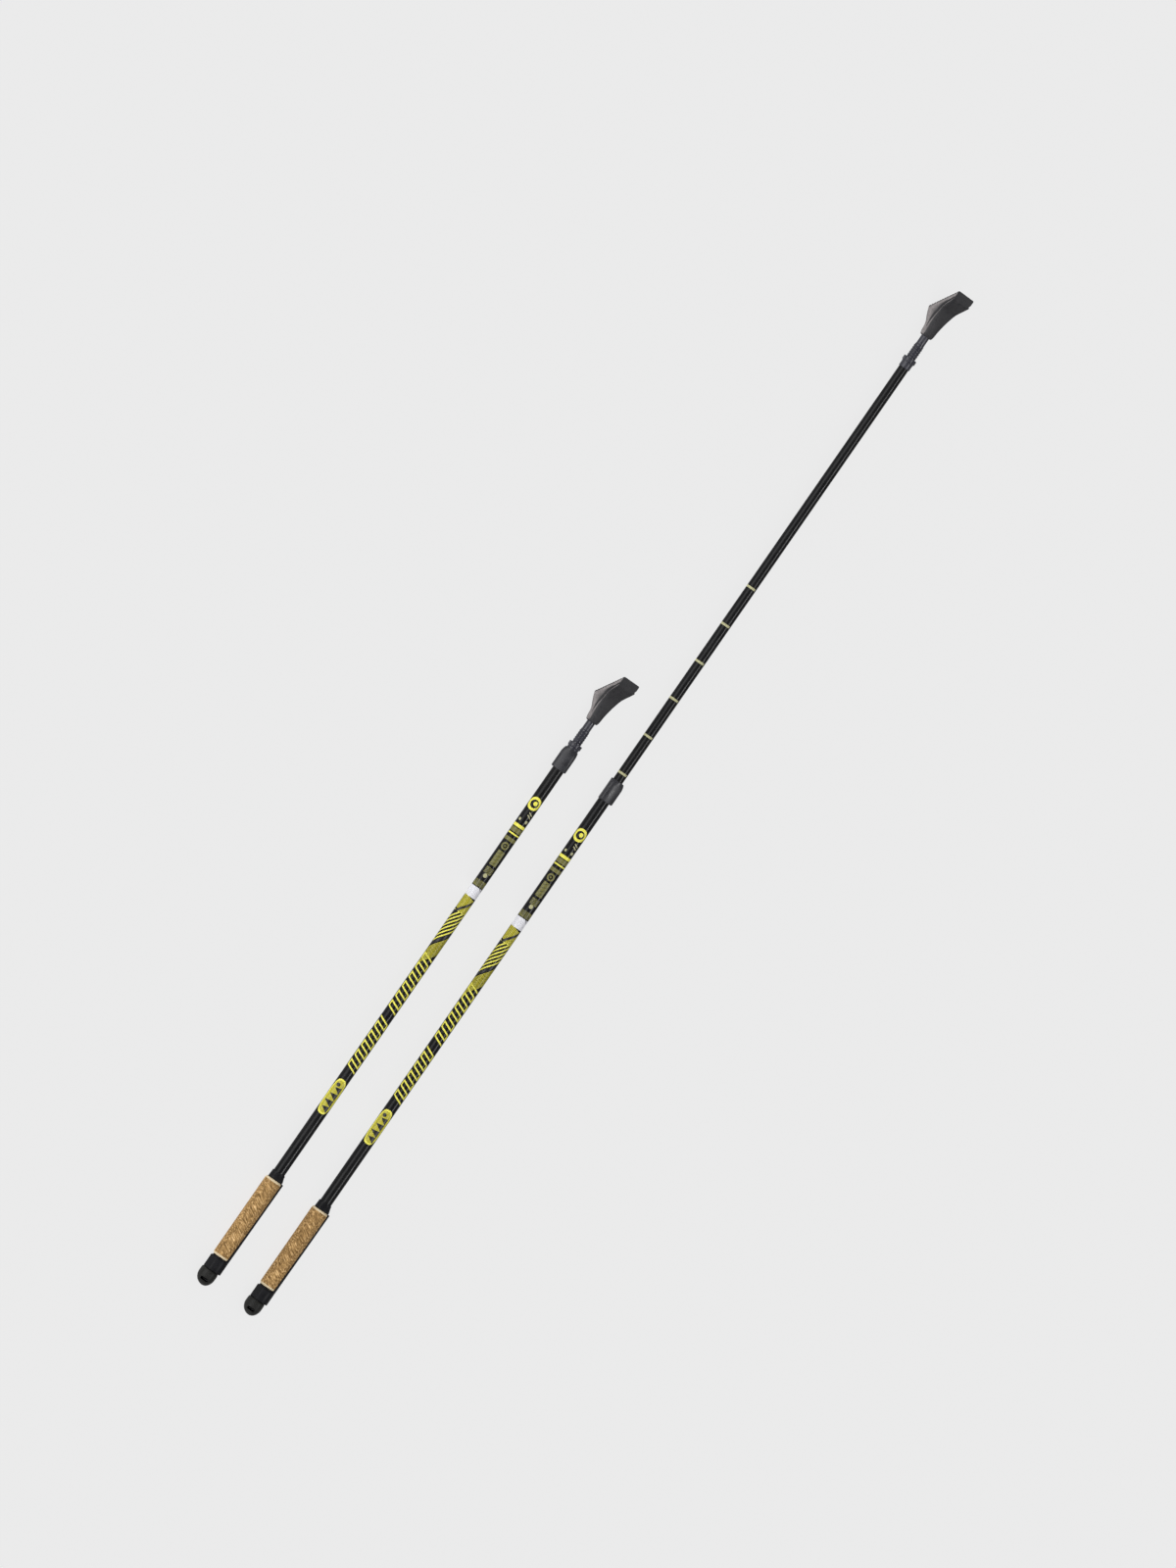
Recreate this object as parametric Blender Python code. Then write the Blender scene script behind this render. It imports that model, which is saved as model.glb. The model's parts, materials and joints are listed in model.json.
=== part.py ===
"""A pair of two-section walking poles with cork grips, inner twist locks and rubber paws.

Metres, +Z up. Both poles lie on the ground plane z = 0 along +Y, with the grips at -Y and the
toes of the paws up. The right pole (+X) is pulled out and the left one (-X) is pushed in.
The origin is under the middle of the pair, on the ground. Run with
blender --background --python part.py, or from Blender's text editor.
"""

import math

import bmesh
import bpy
from mathutils import Vector

# Driving dimensions, in metres. A station is measured from the grip's end, towards the tip.
GAP = 0.0003  # clearance between pieces that touch
ROUND = 32  # facets round a turned piece

POLE_SPACING = 0.075  # between the two poles' axes
UPPER_REACH = 0.718  # grip's end to the lock collar's mouth
RIGHT_PULLED_OUT = 0.556  # collar's mouth to the ferrule's back edge, on the right pole
LOWER_TUBE_LENGTH = 0.654
GRIP_TURN = math.radians(-35.3)  # the grips lie turned about the pole's axis by this much

UPPER_TUBE_RADIUS = 0.0070
UPPER_TUBE_WALL = 0.0007
TUBE_BORE = UPPER_TUBE_RADIUS + GAP  # bore of the pieces that fit over the upper tube
LOWER_TUBE_RADIUS = UPPER_TUBE_RADIUS - UPPER_TUBE_WALL - GAP
LOWER_TUBE_WALL = 0.0007

# The grip's ovals are given as walls outside a bore, to the palm side (-x), the spine side (+x),
# the front (+z) and the back (-z).
CAP_LENGTH = 0.0190
CAP_NOSE = 0.0120  # length of the rounded end
CAP_OVAL = tuple(TUBE_BORE + wall for wall in (0.0044, 0.0019, 0.0049, 0.0055))
CAP_BASE_EASE = 0.0008  # how far the cap narrows at its seam
STRAP_SLOT = (0.0090, 0.0034)  # across the grip, along it
STRAP_SLOT_STATION = 0.0071
STRAP_CHAMBER = (0.0090, 0.0078)  # room round the pin, across and along
STRAP_CHAMBER_DEPTH = 0.0045  # each way from the pin
STRAP_PIN_RADIUS = 0.00125
STRAP_PIN_INSET = 0.0022  # the pin's ends, below the cap's two sides
STRAP_PIN_LENGTH = CAP_OVAL[0] + CAP_OVAL[1] - 2 * STRAP_PIN_INSET
STRAP_PIN_SHIFT = (CAP_OVAL[1] - CAP_OVAL[0]) / 2  # the oval is not centred on the tube's axis

NECK_LENGTH = 0.0153
NECK_OVAL = tuple(TUBE_BORE + wall for wall in (0.0035, 0.0021, 0.0045, 0.0055))
PANEL_ANGLE = math.radians(140)  # flat panel on the neck: its normal, from +x towards +z
PANEL_REACH = TUBE_BORE + 0.0030  # the panel's distance from the axis
SEAM_GROOVE = 0.0022  # length of the groove between neck and cork
SEAM_DEPTH = 0.0016
CORE_RADIUS = TUBE_BORE + 0.0013  # the body's core under the cork
CORK_LENGTH = 0.1040
CORK_OVAL = tuple(CORE_RADIUS + wall for wall in (0.0017, 0.0017, 0.0028, 0.0036))
CORK_CHAMFER = (0.0022, 0.0011)  # along the cork, into it
SPINE_HALF_WIDTH = 0.0030
SPINE_CREST = 0.0024  # half width of the spine's outer face
SPINE_REACH = (CORE_RADIUS + 0.0023, CORE_RADIUS + 0.0034)  # its outer face, at the cork's ends
GRIP_RING_LENGTH = 0.0090
GRIP_RING_OVAL = tuple(TUBE_BORE + wall for wall in (0.0010, 0.0026, 0.0019, 0.0022))
GRIP_RING_LIP = 0.0007  # wall left at the ring's lower edge
GRIP_EASE = 0.0006  # bevels of the neck and the ring
TUBE_SEAT_WALL = 0.0027  # plastic between the cap's seam and the upper tube's end

COLLAR_LENGTH = 0.0270
COLLAR_RADIUS = TUBE_BORE + 0.0017
COLLAR_LOBE = 0.0011  # how far the three lobes stand out
COLLAR_LIP = 0.0012  # length of the bevel at the upper end
COLLAR_LIP_SHARE = 0.55  # share of the lobes' height left at that end
COLLAR_NOSE = 0.0085  # length of the taper at the mouth
COLLAR_TAPER = ((1.0, 1.0), (0.6, 0.86), (0.25, 0.45), (0.0, 0.0))  # shares of nose, of height
COLLAR_NOSE_WALL = 0.0006
COLLAR_TURNS = {"right": math.radians(35.3), "left": math.radians(73.0)}
MOUTH_DEPTH = 0.0055
GUIDE_LAND = 0.0040  # length of the bore that guides the lower tube

STUD_RADIUS = 0.0025
STUD_LENGTH = 0.0580
PLUG_LENGTH = 0.0200  # inside the lower tube
PLUG_FLANGE = 0.0020
EXPANDER_LENGTH = 0.0274
EXPANDER_SLOT = 0.0016
EXPANDER_RADIUS = LOWER_TUBE_RADIUS
EXPANDER_EDGE = 0.0006  # wall left at the far end
EXPANDER_BORE = (STUD_RADIUS + 0.0008, EXPANDER_RADIUS - EXPANDER_EDGE)  # at the plug, far end
CONE_START = 0.0094  # from the expander's plug end
CONE_LENGTH = 0.0185
NUT_HEIGHT = 0.0040
NUT_FLATS = 0.0080
CONE_TRAVEL = 0.0011  # the cone moves this far off its seat when the lock is loosened
NUT_PLAY = 0.0020

FERRULE_SOCKET = 0.0110  # length of lower tube inside the ferrule
FERRULE_BORE = LOWER_TUBE_RADIUS + GAP
FERRULE_SLEEVE_WALL = 0.0005
FLANGE_START = 0.0080
FLANGE_THICKNESS = 0.0050
FLANGE_RADIUS = FERRULE_BORE + FERRULE_SLEEVE_WALL + 0.0008
FLANGE_NOTCH = 0.0004  # depth of the flange's finger notches
FLANGE_NOTCHES = 8
THREAD_RADIUS = 0.0058
THREAD_LENGTH = 0.0180
THREAD_EASE = 0.0008
NECK_RADIUS = 0.0049
NECK_TO_PAW = 0.0110  # length of plain neck before the paw
POINT_SEAT_RADIUS = 0.0040
POINT_SEAT_START = 0.0620
CARBIDE_SHANK = (0.0020, 0.0080)  # radius, length in the ferrule
CARBIDE_HEAD = (0.0032, 0.0050)
CARBIDE_CROWN = (0.0022, 0.0030)
CROWN_DISH = (0.00066, 0.0010)  # radius of the dish's floor, depth

PAW_BORE_RADIUS = NECK_RADIUS + GAP
WASHER_RADIUS = 0.0060
WASHER_THICKNESS = 0.0015
PAW_HALF_WIDTH = 0.0124
PAW_HEEL = (0.0304, -0.0130)  # from the paw's rim: along the pole, up
PAW_TOE = (0.0630, 0.0204)
PAW_TOE_FACE = 0.0122  # length of the flat face above the toe's corner
PAW_RIM_RADIUS = PAW_BORE_RADIUS + 0.0012
PAW_CORNER = 0.0018

OVERALL_LENGTH = (
    UPPER_REACH + RIGHT_PULLED_OUT + FLANGE_START + FLANGE_THICKNESS
    + THREAD_LENGTH + NECK_TO_PAW + PAW_TOE[0]
)


def clear_scene():
    for old in list(bpy.data.objects):
        bpy.data.objects.remove(old, do_unlink=True)


def finish(name, colour, roughness, metallic=0.0):
    """A Principled material."""
    material = bpy.data.materials.new(name)
    material.use_nodes = True
    shader = material.node_tree.nodes["Principled BSDF"]
    shader.inputs["Base Color"].default_value = (*colour, 1.0)
    shader.inputs["Roughness"].default_value = roughness
    shader.inputs["Metallic"].default_value = metallic
    return material


def mesh_from_rings(name, rings, material, joined=False):
    """Skins rings of points in turn. The last ring meets the first if joined, or both are capped."""
    shape = bmesh.new()
    loops = [[shape.verts.new(point) for point in ring] for ring in rings]
    pairs = list(zip(loops, loops[1:]))
    if joined:
        pairs.append((loops[-1], loops[0]))
    for near, far in pairs:
        for i in range(len(near)):
            j = (i + 1) % len(near)
            shape.faces.new((near[i], near[j], far[j], far[i]))
    if not joined:
        shape.faces.new(loops[0])
        shape.faces.new(loops[-1])
    bmesh.ops.recalc_face_normals(shape, faces=shape.faces)
    mesh = bpy.data.meshes.new(name)
    shape.to_mesh(mesh)
    shape.free()
    mesh.shade_smooth()
    mesh.set_sharp_from_angle(angle=math.radians(35))
    if material:
        mesh.materials.append(material)
    return mesh


def turned(name, profile, material, joined=False, facets=ROUND):
    """A turned piece: profile holds (station, radius) pairs, along the Y axis."""
    angles = [2 * math.pi * i / facets for i in range(facets)]
    rings = [polar_ring(station, angles, lambda angle, r=radius: r) for station, radius in profile]
    return mesh_from_rings(name, rings, material, joined)


def polar_ring(station, angles, radius_at):
    """Points round the Y axis, with angles from +X towards +Z."""
    return [
        Vector((radius_at(a) * math.cos(a), station, radius_at(a) * math.sin(a))) for a in angles
    ]


def oval_radius(angle, oval, power=2.3):
    """Distance from the axis to an oval with a half width of its own on each side."""
    minus_x, plus_x, plus_z, minus_z = oval
    x, z = math.cos(angle), math.sin(angle)
    half_x = plus_x if x > 0 else minus_x
    half_z = plus_z if z > 0 else minus_z
    return (abs(x / half_x) ** power + abs(z / half_z) ** power) ** (-1 / power)


def resized(oval, change):
    return tuple(side + change for side in oval)


def turned_oval_depth(oval):
    """How far an oval reaches below the axis once the grip is turned."""
    angles = [math.radians(degree) for degree in range(360)]
    return max(-oval_radius(angle, oval) * math.sin(angle - GRIP_TURN) for angle in angles)


def c_ring(station, outer_at, inner_radius, half_opening, facets):
    """A ring with an opening at +X, whose two ends are flat: the outer arc, then the inner one."""
    outer_start = half_opening / outer_at(0)
    start = math.asin(half_opening / outer_at(outer_start))
    outer = [start + (2 * math.pi - 2 * start) * i / facets for i in range(facets + 1)]
    start = math.asin(half_opening / inner_radius)
    inner = [start + (2 * math.pi - 2 * start) * i / facets for i in range(facets + 1)]
    back = polar_ring(station, inner, lambda angle: inner_radius)
    return polar_ring(station, outer, outer_at) + back[::-1]


# The grip ---------------------------------------------------------------------------------------


def grip_cap_mesh():
    """The cap: a rounded end, then a short straight part that narrows a little at its seam."""
    angles = [2 * math.pi * i / ROUND for i in range(ROUND)]
    rings = []
    for step in range(8):
        turn = math.radians(8 + 82 * step / 7)
        station = CAP_NOSE * (1 - math.cos(turn))
        shrink = math.sin(turn)
        rings.append(polar_ring(station, angles, lambda a, s=shrink: s * oval_radius(a, CAP_OVAL)))
    first = rings[0][0].y
    for ring in rings:
        for point in ring:
            point.y = (point.y - first) * CAP_NOSE / (CAP_NOSE - first)
    base = resized(CAP_OVAL, -CAP_BASE_EASE)
    for station, oval in ((CAP_LENGTH - 0.004, CAP_OVAL), (CAP_LENGTH, base)):
        rings.append(polar_ring(station, angles, lambda a, o=oval: oval_radius(a, o)))
    return mesh_from_rings("grip_cap", rings, finish("cap plastic", (0.022, 0.022, 0.024), 0.45))


def box_mesh(name, size):
    shape = bmesh.new()
    bmesh.ops.create_cube(shape, size=1.0)
    bmesh.ops.scale(shape, vec=size, verts=shape.verts)
    mesh = bpy.data.meshes.new(name)
    shape.to_mesh(mesh)
    shape.free()
    return mesh


def rod_mesh(name, radius, length, material=None, facets=16):
    """A rod along the X axis, centred."""
    rings = []
    for end in (-length / 2, length / 2):
        angles = [2 * math.pi * i / facets for i in range(facets)]
        rings.append([Vector((end, radius * math.cos(a), radius * math.sin(a))) for a in angles])
    return mesh_from_rings(name, rings, material)


def strap_pin_mesh():
    steel = finish("pin steel", (0.6, 0.6, 0.62), 0.35, 1.0)
    return rod_mesh("strap_pin", STRAP_PIN_RADIUS, STRAP_PIN_LENGTH, steel)


def strap_cutters():
    """The slot in the cap's front, the chamber behind it and the pin's bore, with their places."""
    slot_run = CAP_OVAL[2] + STRAP_CHAMBER_DEPTH
    slot = box_mesh("strap_slot", (STRAP_SLOT[0], STRAP_SLOT[1], slot_run))
    chamber_size = (STRAP_CHAMBER[0] + 2 * GAP, STRAP_CHAMBER[1], 2 * STRAP_CHAMBER_DEPTH)
    chamber = box_mesh("strap_chamber", chamber_size)
    bore = rod_mesh("pin_bore", STRAP_PIN_RADIUS + GAP, 2 * CAP_OVAL[0] + 2 * CAP_OVAL[1])
    middle = Vector((STRAP_PIN_SHIFT, STRAP_SLOT_STATION, 0))
    return [
        (slot, middle + Vector((0, 0, slot_run / 2 + GAP))),
        (chamber, middle),
        (bore, middle),
    ]


def spine_points(reach):
    """The spine's section on the +X side, as (x, z) pairs from its lower side to its upper one."""
    foot = math.sqrt(CORE_RADIUS**2 - SPINE_HALF_WIDTH**2)
    ease = SPINE_HALF_WIDTH - SPINE_CREST
    return [
        (foot, -SPINE_HALF_WIDTH),
        (reach - ease, -SPINE_CREST - ease / 2),
        (reach, -SPINE_CREST + ease),
        (reach, SPINE_CREST - ease),
        (reach - ease, SPINE_CREST + ease / 2),
        (foot, SPINE_HALF_WIDTH),
    ]


def body_angles():
    """Angles that every ring of the grip body uses, so that its rings can be skinned together."""
    spine = [math.atan2(z, x) for x, z in spine_points(SPINE_REACH[0])]
    arc_start = spine[-1]
    steps = ROUND - 4
    arc = [arc_start + (2 * math.pi - 2 * arc_start) * i / steps for i in range(1, steps)]
    return spine + arc


def core_ring(station, reach):
    """The core with its spine."""
    angles = body_angles()
    spine = [Vector((x, station, z)) for x, z in spine_points(reach)]
    return spine + polar_ring(station, angles[len(spine):], lambda angle: CORE_RADIUS)


def neck_radius(angle):
    """The neck's oval with a flat panel on its front and palm side."""
    oval = oval_radius(angle, NECK_OVAL)
    away = math.cos(angle - PANEL_ANGLE)
    return min(oval, PANEL_REACH / away) if away > 0.5 else oval


def grip_body_mesh():
    """The plastic body: neck, seam groove, core with spine and lower ring, round the tube's bore."""
    angles = body_angles()
    neck_start = CAP_LENGTH + GAP
    neck_end = neck_start + NECK_LENGTH
    cork_start = neck_end + SEAM_GROOVE
    cork_end = cork_start + CORK_LENGTH
    ring_start = cork_end + GAP
    ring_end = ring_start + GRIP_RING_LENGTH
    ease = GRIP_EASE
    groove = resized(NECK_OVAL, -SEAM_DEPTH)
    spine_start = cork_start - GAP
    low_ring = (TUBE_BORE + GRIP_RING_LIP,) * 4

    def oval_at(station, oval):
        return polar_ring(station, angles, lambda a: oval_radius(a, oval))

    def neck_at(station, change=0.0):
        return polar_ring(station, angles, lambda a: neck_radius(a) + change)

    rings = [
        neck_at(neck_start, -ease),
        neck_at(neck_start + ease),
        neck_at(neck_end - ease),
        neck_at(neck_end, -ease),
        oval_at(neck_end + ease, groove),
        oval_at(spine_start - ease, groove),
        core_ring(spine_start, SPINE_REACH[0]),
        core_ring(cork_end, SPINE_REACH[1]),
        oval_at(ring_start, resized(GRIP_RING_OVAL, -ease)),
        oval_at(ring_start + ease, GRIP_RING_OVAL),
        oval_at(ring_start + 2.5 * ease, GRIP_RING_OVAL),
        oval_at(ring_end, low_ring),
        polar_ring(ring_end, angles, lambda a: TUBE_BORE),
        polar_ring(CAP_LENGTH + TUBE_SEAT_WALL, angles, lambda a: TUBE_BORE),
    ]
    return mesh_from_rings("grip_body", rings, finish("grip plastic", (0.025, 0.025, 0.028), 0.5))


def cork_wrap_mesh():
    """Cork round the core, open along the spine, with a chamfer at each end."""
    start = CAP_LENGTH + GAP + NECK_LENGTH + SEAM_GROOVE
    length, depth = CORK_CHAMFER
    opening = SPINE_HALF_WIDTH + GAP
    rings = []
    for station, change in (
        (start, -depth),
        (start + length, 0.0),
        (start + CORK_LENGTH - length, 0.0),
        (start + CORK_LENGTH, -depth),
    ):
        def outer_at(angle, oval=resized(CORK_OVAL, change)):
            return oval_radius(angle, oval)

        rings.append(c_ring(station, outer_at, CORE_RADIUS + GAP, opening, ROUND))
    return mesh_from_rings("cork_wrap", rings, finish("cork", (0.50, 0.33, 0.17), 0.8))


# The tubes and the lock -------------------------------------------------------------------------


def tube_mesh(name, start, end, radius, wall, material):
    profile = [(start, radius), (end, radius), (end, radius - wall), (start, radius - wall)]
    return turned(name, profile, material, joined=True)


def upper_tube_mesh():
    start = CAP_LENGTH + TUBE_SEAT_WALL + GAP
    end = UPPER_REACH - MOUTH_DEPTH - GUIDE_LAND - GAP
    paint = finish("upper tube lacquer", (0.015, 0.015, 0.016), 0.25)
    return tube_mesh("upper_tube", start, end, UPPER_TUBE_RADIUS, UPPER_TUBE_WALL, paint)


def lock_collar_mesh():
    """Three lobes outside, and inside the upper tube's socket, the guide bore and the mouth."""
    facets = ROUND + ROUND // 2
    angles = [2 * math.pi * i / facets for i in range(facets)]
    start = UPPER_REACH - COLLAR_LENGTH
    land_end = UPPER_REACH - MOUTH_DEPTH
    land_start = land_end - GUIDE_LAND
    guide = LOWER_TUBE_RADIUS + GAP
    mouth = guide + FERRULE_SLEEVE_WALL + GAP
    nose = mouth + COLLAR_NOSE_WALL

    def lobed(station, share):
        """Between the nose's circle and the full lobes."""
        def radius_at(angle):
            full = COLLAR_RADIUS + COLLAR_LOBE * math.cos(3 * angle)
            return nose + (full - nose) * share

        return polar_ring(station, angles, radius_at)

    def circle(station, radius):
        return polar_ring(station, angles, lambda a: radius)

    rings = [lobed(start, COLLAR_LIP_SHARE), lobed(start + COLLAR_LIP, 1.0)]
    rings += [lobed(UPPER_REACH - left * COLLAR_NOSE, share) for left, share in COLLAR_TAPER]
    rings += [
        circle(UPPER_REACH, mouth),
        circle(land_end, mouth),
        circle(land_end, guide),
        circle(land_start, guide),
        circle(land_start, TUBE_BORE),
        circle(start, TUBE_BORE),
    ]
    material = finish("collar plastic", (0.05, 0.05, 0.055), 0.42)
    return mesh_from_rings("lock_collar", rings, material, joined=True)


# The lower section's stations count from the ferrule's back edge, and -Y leads into the upper tube.

LOWER_TUBE_TOP = FERRULE_SOCKET - LOWER_TUBE_LENGTH
PLUG_TOP = LOWER_TUBE_TOP - GAP - PLUG_FLANGE
EXPANDER_FOOT = PLUG_TOP - GAP
CONE_FOOT = EXPANDER_FOOT - CONE_START
NUT_FOOT = CONE_FOOT - CONE_LENGTH - CONE_TRAVEL - NUT_PLAY
PAW_START = FLANGE_START + FLANGE_THICKNESS + THREAD_LENGTH + NECK_TO_PAW
POINT_END = POINT_SEAT_START + GAP + CARBIDE_HEAD[1] + CARBIDE_CROWN[1]


def lower_tube_mesh():
    paint = finish("lower tube lacquer", (0.015, 0.015, 0.016), 0.22)
    return tube_mesh(
        "lower_tube", LOWER_TUBE_TOP, FERRULE_SOCKET, LOWER_TUBE_RADIUS, LOWER_TUBE_WALL, paint
    )


def lock_plug_mesh():
    """A nylon plug in the lower tube's end, with a flange over the tube and a bore for the stud."""
    body = LOWER_TUBE_RADIUS - LOWER_TUBE_WALL - GAP
    bore = STUD_RADIUS + GAP
    profile = [
        (PLUG_TOP, LOWER_TUBE_RADIUS),
        (PLUG_TOP + PLUG_FLANGE, LOWER_TUBE_RADIUS),
        (PLUG_TOP + PLUG_FLANGE, body),
        (PLUG_TOP + PLUG_FLANGE + PLUG_LENGTH, body),
        (PLUG_TOP + PLUG_FLANGE + PLUG_LENGTH, bore),
        (PLUG_TOP, bore),
    ]
    return turned("lock_plug", profile, finish("plug nylon", (0.72, 0.71, 0.67), 0.5), joined=True)


def lock_stud_mesh():
    end = PLUG_TOP + PLUG_FLANGE + PLUG_LENGTH - GAP
    start = end - STUD_LENGTH
    chamfer = 0.2 * STUD_RADIUS
    profile = [
        (start, STUD_RADIUS - chamfer),
        (start + chamfer, STUD_RADIUS),
        (end - chamfer, STUD_RADIUS),
        (end, STUD_RADIUS - chamfer),
    ]
    return turned("lock_stud", profile, finish("stud steel", (0.58, 0.58, 0.6), 0.32, 1.0), facets=16)


def taper_at(distance):
    """The expander's inner radius at a distance from its plug end."""
    narrow, wide = EXPANDER_BORE
    return narrow + (wide - narrow) * distance / EXPANDER_LENGTH


def expander_radius(angle):
    return EXPANDER_RADIUS


def lock_expander_mesh():
    """A split sleeve with a tapered bore that widens away from the plug."""
    rings = []
    for distance in (EXPANDER_LENGTH, 0.0):
        station = EXPANDER_FOOT - distance
        inner = taper_at(distance)
        rings.append(c_ring(station, expander_radius, inner, EXPANDER_SLOT / 2, ROUND))
    material = finish("expander nylon", (0.62, 0.10, 0.06), 0.45)
    return mesh_from_rings("lock_expander", rings, material)


def lock_cone_mesh():
    """The cone nut, which runs on the stud inside the expander."""
    far = CONE_FOOT - CONE_LENGTH
    bore = STUD_RADIUS + GAP
    profile = [
        (far, taper_at(CONE_START + CONE_LENGTH) - GAP),
        (CONE_FOOT, taper_at(CONE_START) - GAP),
        (CONE_FOOT, bore),
        (far, bore),
    ]
    return turned("lock_cone", profile, finish("cone brass", (0.70, 0.52, 0.22), 0.35, 1.0), joined=True)


def lock_nut_mesh():
    """A hexagonal stop nut near the stud's end."""
    angles = [2 * math.pi * i / 24 for i in range(24)]
    sixth = math.pi / 3

    def hexagon(angle):
        return NUT_FLATS / 2 / math.cos((angle + sixth / 2) % sixth - sixth / 2)

    rings = [
        polar_ring(NUT_FOOT, angles, hexagon),
        polar_ring(NUT_FOOT - NUT_HEIGHT, angles, hexagon),
        polar_ring(NUT_FOOT - NUT_HEIGHT, angles, lambda a: STUD_RADIUS + GAP),
        polar_ring(NUT_FOOT, angles, lambda a: STUD_RADIUS + GAP),
    ]
    material = finish("nut steel", (0.58, 0.58, 0.6), 0.3, 1.0)
    return mesh_from_rings("lock_nut", rings, material, joined=True)


# The tip and the paw ----------------------------------------------------------------------------


def tip_ferrule_mesh():
    """The tip: a sleeve on the tube, a notched flange, the basket's thread and a tapered nose."""
    facets = ROUND
    angles = [2 * math.pi * i / facets for i in range(facets)]
    sleeve = FERRULE_BORE + FERRULE_SLEEVE_WALL
    flange_end = FLANGE_START + FLANGE_THICKNESS
    thread_end = flange_end + THREAD_LENGTH
    seat = CARBIDE_SHANK[0] + GAP

    def circle(station, radius):
        return polar_ring(station, angles, lambda a: radius)

    def notched(station):
        def radius_at(angle):
            return FLANGE_RADIUS + FLANGE_NOTCH * math.cos(FLANGE_NOTCHES * angle)

        return polar_ring(station, angles, radius_at)

    rings = [
        circle(FERRULE_SOCKET + GAP, FERRULE_BORE),
        circle(0.0, FERRULE_BORE),
        circle(0.0, sleeve),
        circle(MOUTH_DEPTH, sleeve),
        notched(FLANGE_START),
        notched(flange_end),
        circle(flange_end, THREAD_RADIUS),
        circle(thread_end - THREAD_EASE, THREAD_RADIUS),
        circle(thread_end, NECK_RADIUS),
        circle(PAW_START, NECK_RADIUS),
        circle(POINT_SEAT_START, POINT_SEAT_RADIUS),
        circle(POINT_SEAT_START, seat),
        circle(POINT_SEAT_START - CARBIDE_SHANK[1] - GAP, seat),
    ]
    return mesh_from_rings("tip_ferrule", rings, finish("ferrule plastic", (0.04, 0.04, 0.05), 0.45))


def carbide_tip_mesh():
    head_start = POINT_SEAT_START + GAP
    head_end = head_start + CARBIDE_HEAD[1]
    crown_end = head_end + CARBIDE_CROWN[1]
    profile = [
        (POINT_SEAT_START - CARBIDE_SHANK[1], CARBIDE_SHANK[0]),
        (head_start, CARBIDE_SHANK[0]),
        (head_start, CARBIDE_HEAD[0]),
        (head_end, CARBIDE_HEAD[0]),
        (crown_end, CARBIDE_CROWN[0]),
        (crown_end - CROWN_DISH[1], CROWN_DISH[0]),
    ]
    return turned("carbide_tip", profile, finish("carbide", (0.32, 0.32, 0.33), 0.4, 1.0), facets=16)


def paw_washer_mesh():
    start = POINT_END + 2 * GAP
    end = start + WASHER_THICKNESS
    profile = [(start, WASHER_RADIUS), (end, WASHER_RADIUS)]
    return turned("paw_washer", profile, finish("washer steel", (0.55, 0.55, 0.57), 0.38, 1.0))


def paw_section(top, bottom, top_half, bottom_half, corner, steps=5):
    """A rounded section between a point on the instep and one on the heel or sole.

    Points are (station, height) pairs, and the half widths are those at the two points."""
    top, bottom = Vector(top), Vector(bottom)
    middle = (top + bottom) / 2
    up = (top - bottom).normalized()
    half = (top - bottom).length / 2
    points = []
    for x_side, z_side, start in ((1, 1, 0), (-1, 1, 90), (-1, -1, 180), (1, -1, 270)):
        for step in range(steps + 1):
            angle = math.radians(start + 90 * step / steps)
            rise = z_side * (half - corner) + corner * math.sin(angle)
            share = (rise / half + 1) / 2
            width = bottom_half + (top_half - bottom_half) * share
            across = x_side * (width - corner) + corner * math.cos(angle)
            place = middle + up * rise
            points.append(Vector((across, PAW_START + place.x, place.y)))
    return points


def sole_point(share):
    """A point on the sole's straight line, from the heel (0) to the toe (1)."""
    return tuple(a + (b - a) * share for a, b in zip(PAW_HEEL, PAW_TOE))


def paw_rings():
    """The boot's outer sections, from its toe face back to the rim round the ferrule."""
    wide = PAW_HALF_WIDTH
    rim = PAW_RIM_RADIUS
    toe_top = (PAW_TOE[0] - PAW_TOE_FACE, PAW_TOE[1])
    return [
        paw_section(toe_top, PAW_TOE, wide, wide, PAW_CORNER),
        paw_section((0.0462, 0.0170), sole_point(0.72), 0.0119, wide, PAW_CORNER),
        paw_section((0.0410, 0.0127), sole_point(0.42), 0.0112, wide, 0.0020),
        paw_section((0.0365, 0.0101), sole_point(0.18), 0.0105, wide, 0.0022),
        paw_section((0.0310, 0.0086), PAW_HEEL, 0.0098, wide, 0.0026),
        paw_section((0.0240, 0.0082), (0.0218, -0.0110), 0.0090, 0.0110, 0.0050),
        paw_section((0.0130, 0.0080), (0.0130, -0.0082), 0.0082, 0.0088, 0.0070),
        paw_section((0.0045, rim + 0.0012), (0.0045, -rim - 0.0012), rim + 0.0012, rim + 0.0012, rim),
        paw_section((0.0008, rim), (0.0008, -rim), rim, rim, 0.98 * rim),
        paw_section((0.0, rim - 0.0006), (0.0, 0.0006 - rim), rim - 0.0006, rim - 0.0006, 0.9 * rim),
    ]


def rubber_paw_mesh():
    """A boot with a bore for the ferrule's nose, and a wider pocket that holds the steel washer."""
    pocket_start = POINT_END + GAP
    pocket_end = pocket_start + WASHER_THICKNESS + 2 * GAP
    rings = paw_rings()
    count = len(rings[0])
    steps = count // 4 - 1
    angles = [
        math.radians(start + 90 * step / (steps + 1) + 45 / (steps + 1))
        for start in (0, 90, 180, 270)
        for step in range(steps + 1)
    ]
    for station, radius in (
        (PAW_START, PAW_BORE_RADIUS),
        (pocket_start, PAW_BORE_RADIUS),
        (pocket_start, WASHER_RADIUS + GAP),
        (pocket_end, WASHER_RADIUS + GAP),
    ):
        rings.append(polar_ring(station, angles, lambda a: radius))
    return mesh_from_rings("rubber_paw", rings, finish("paw rubber", (0.035, 0.035, 0.037), 0.75))


# The assembly -----------------------------------------------------------------------------------

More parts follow.
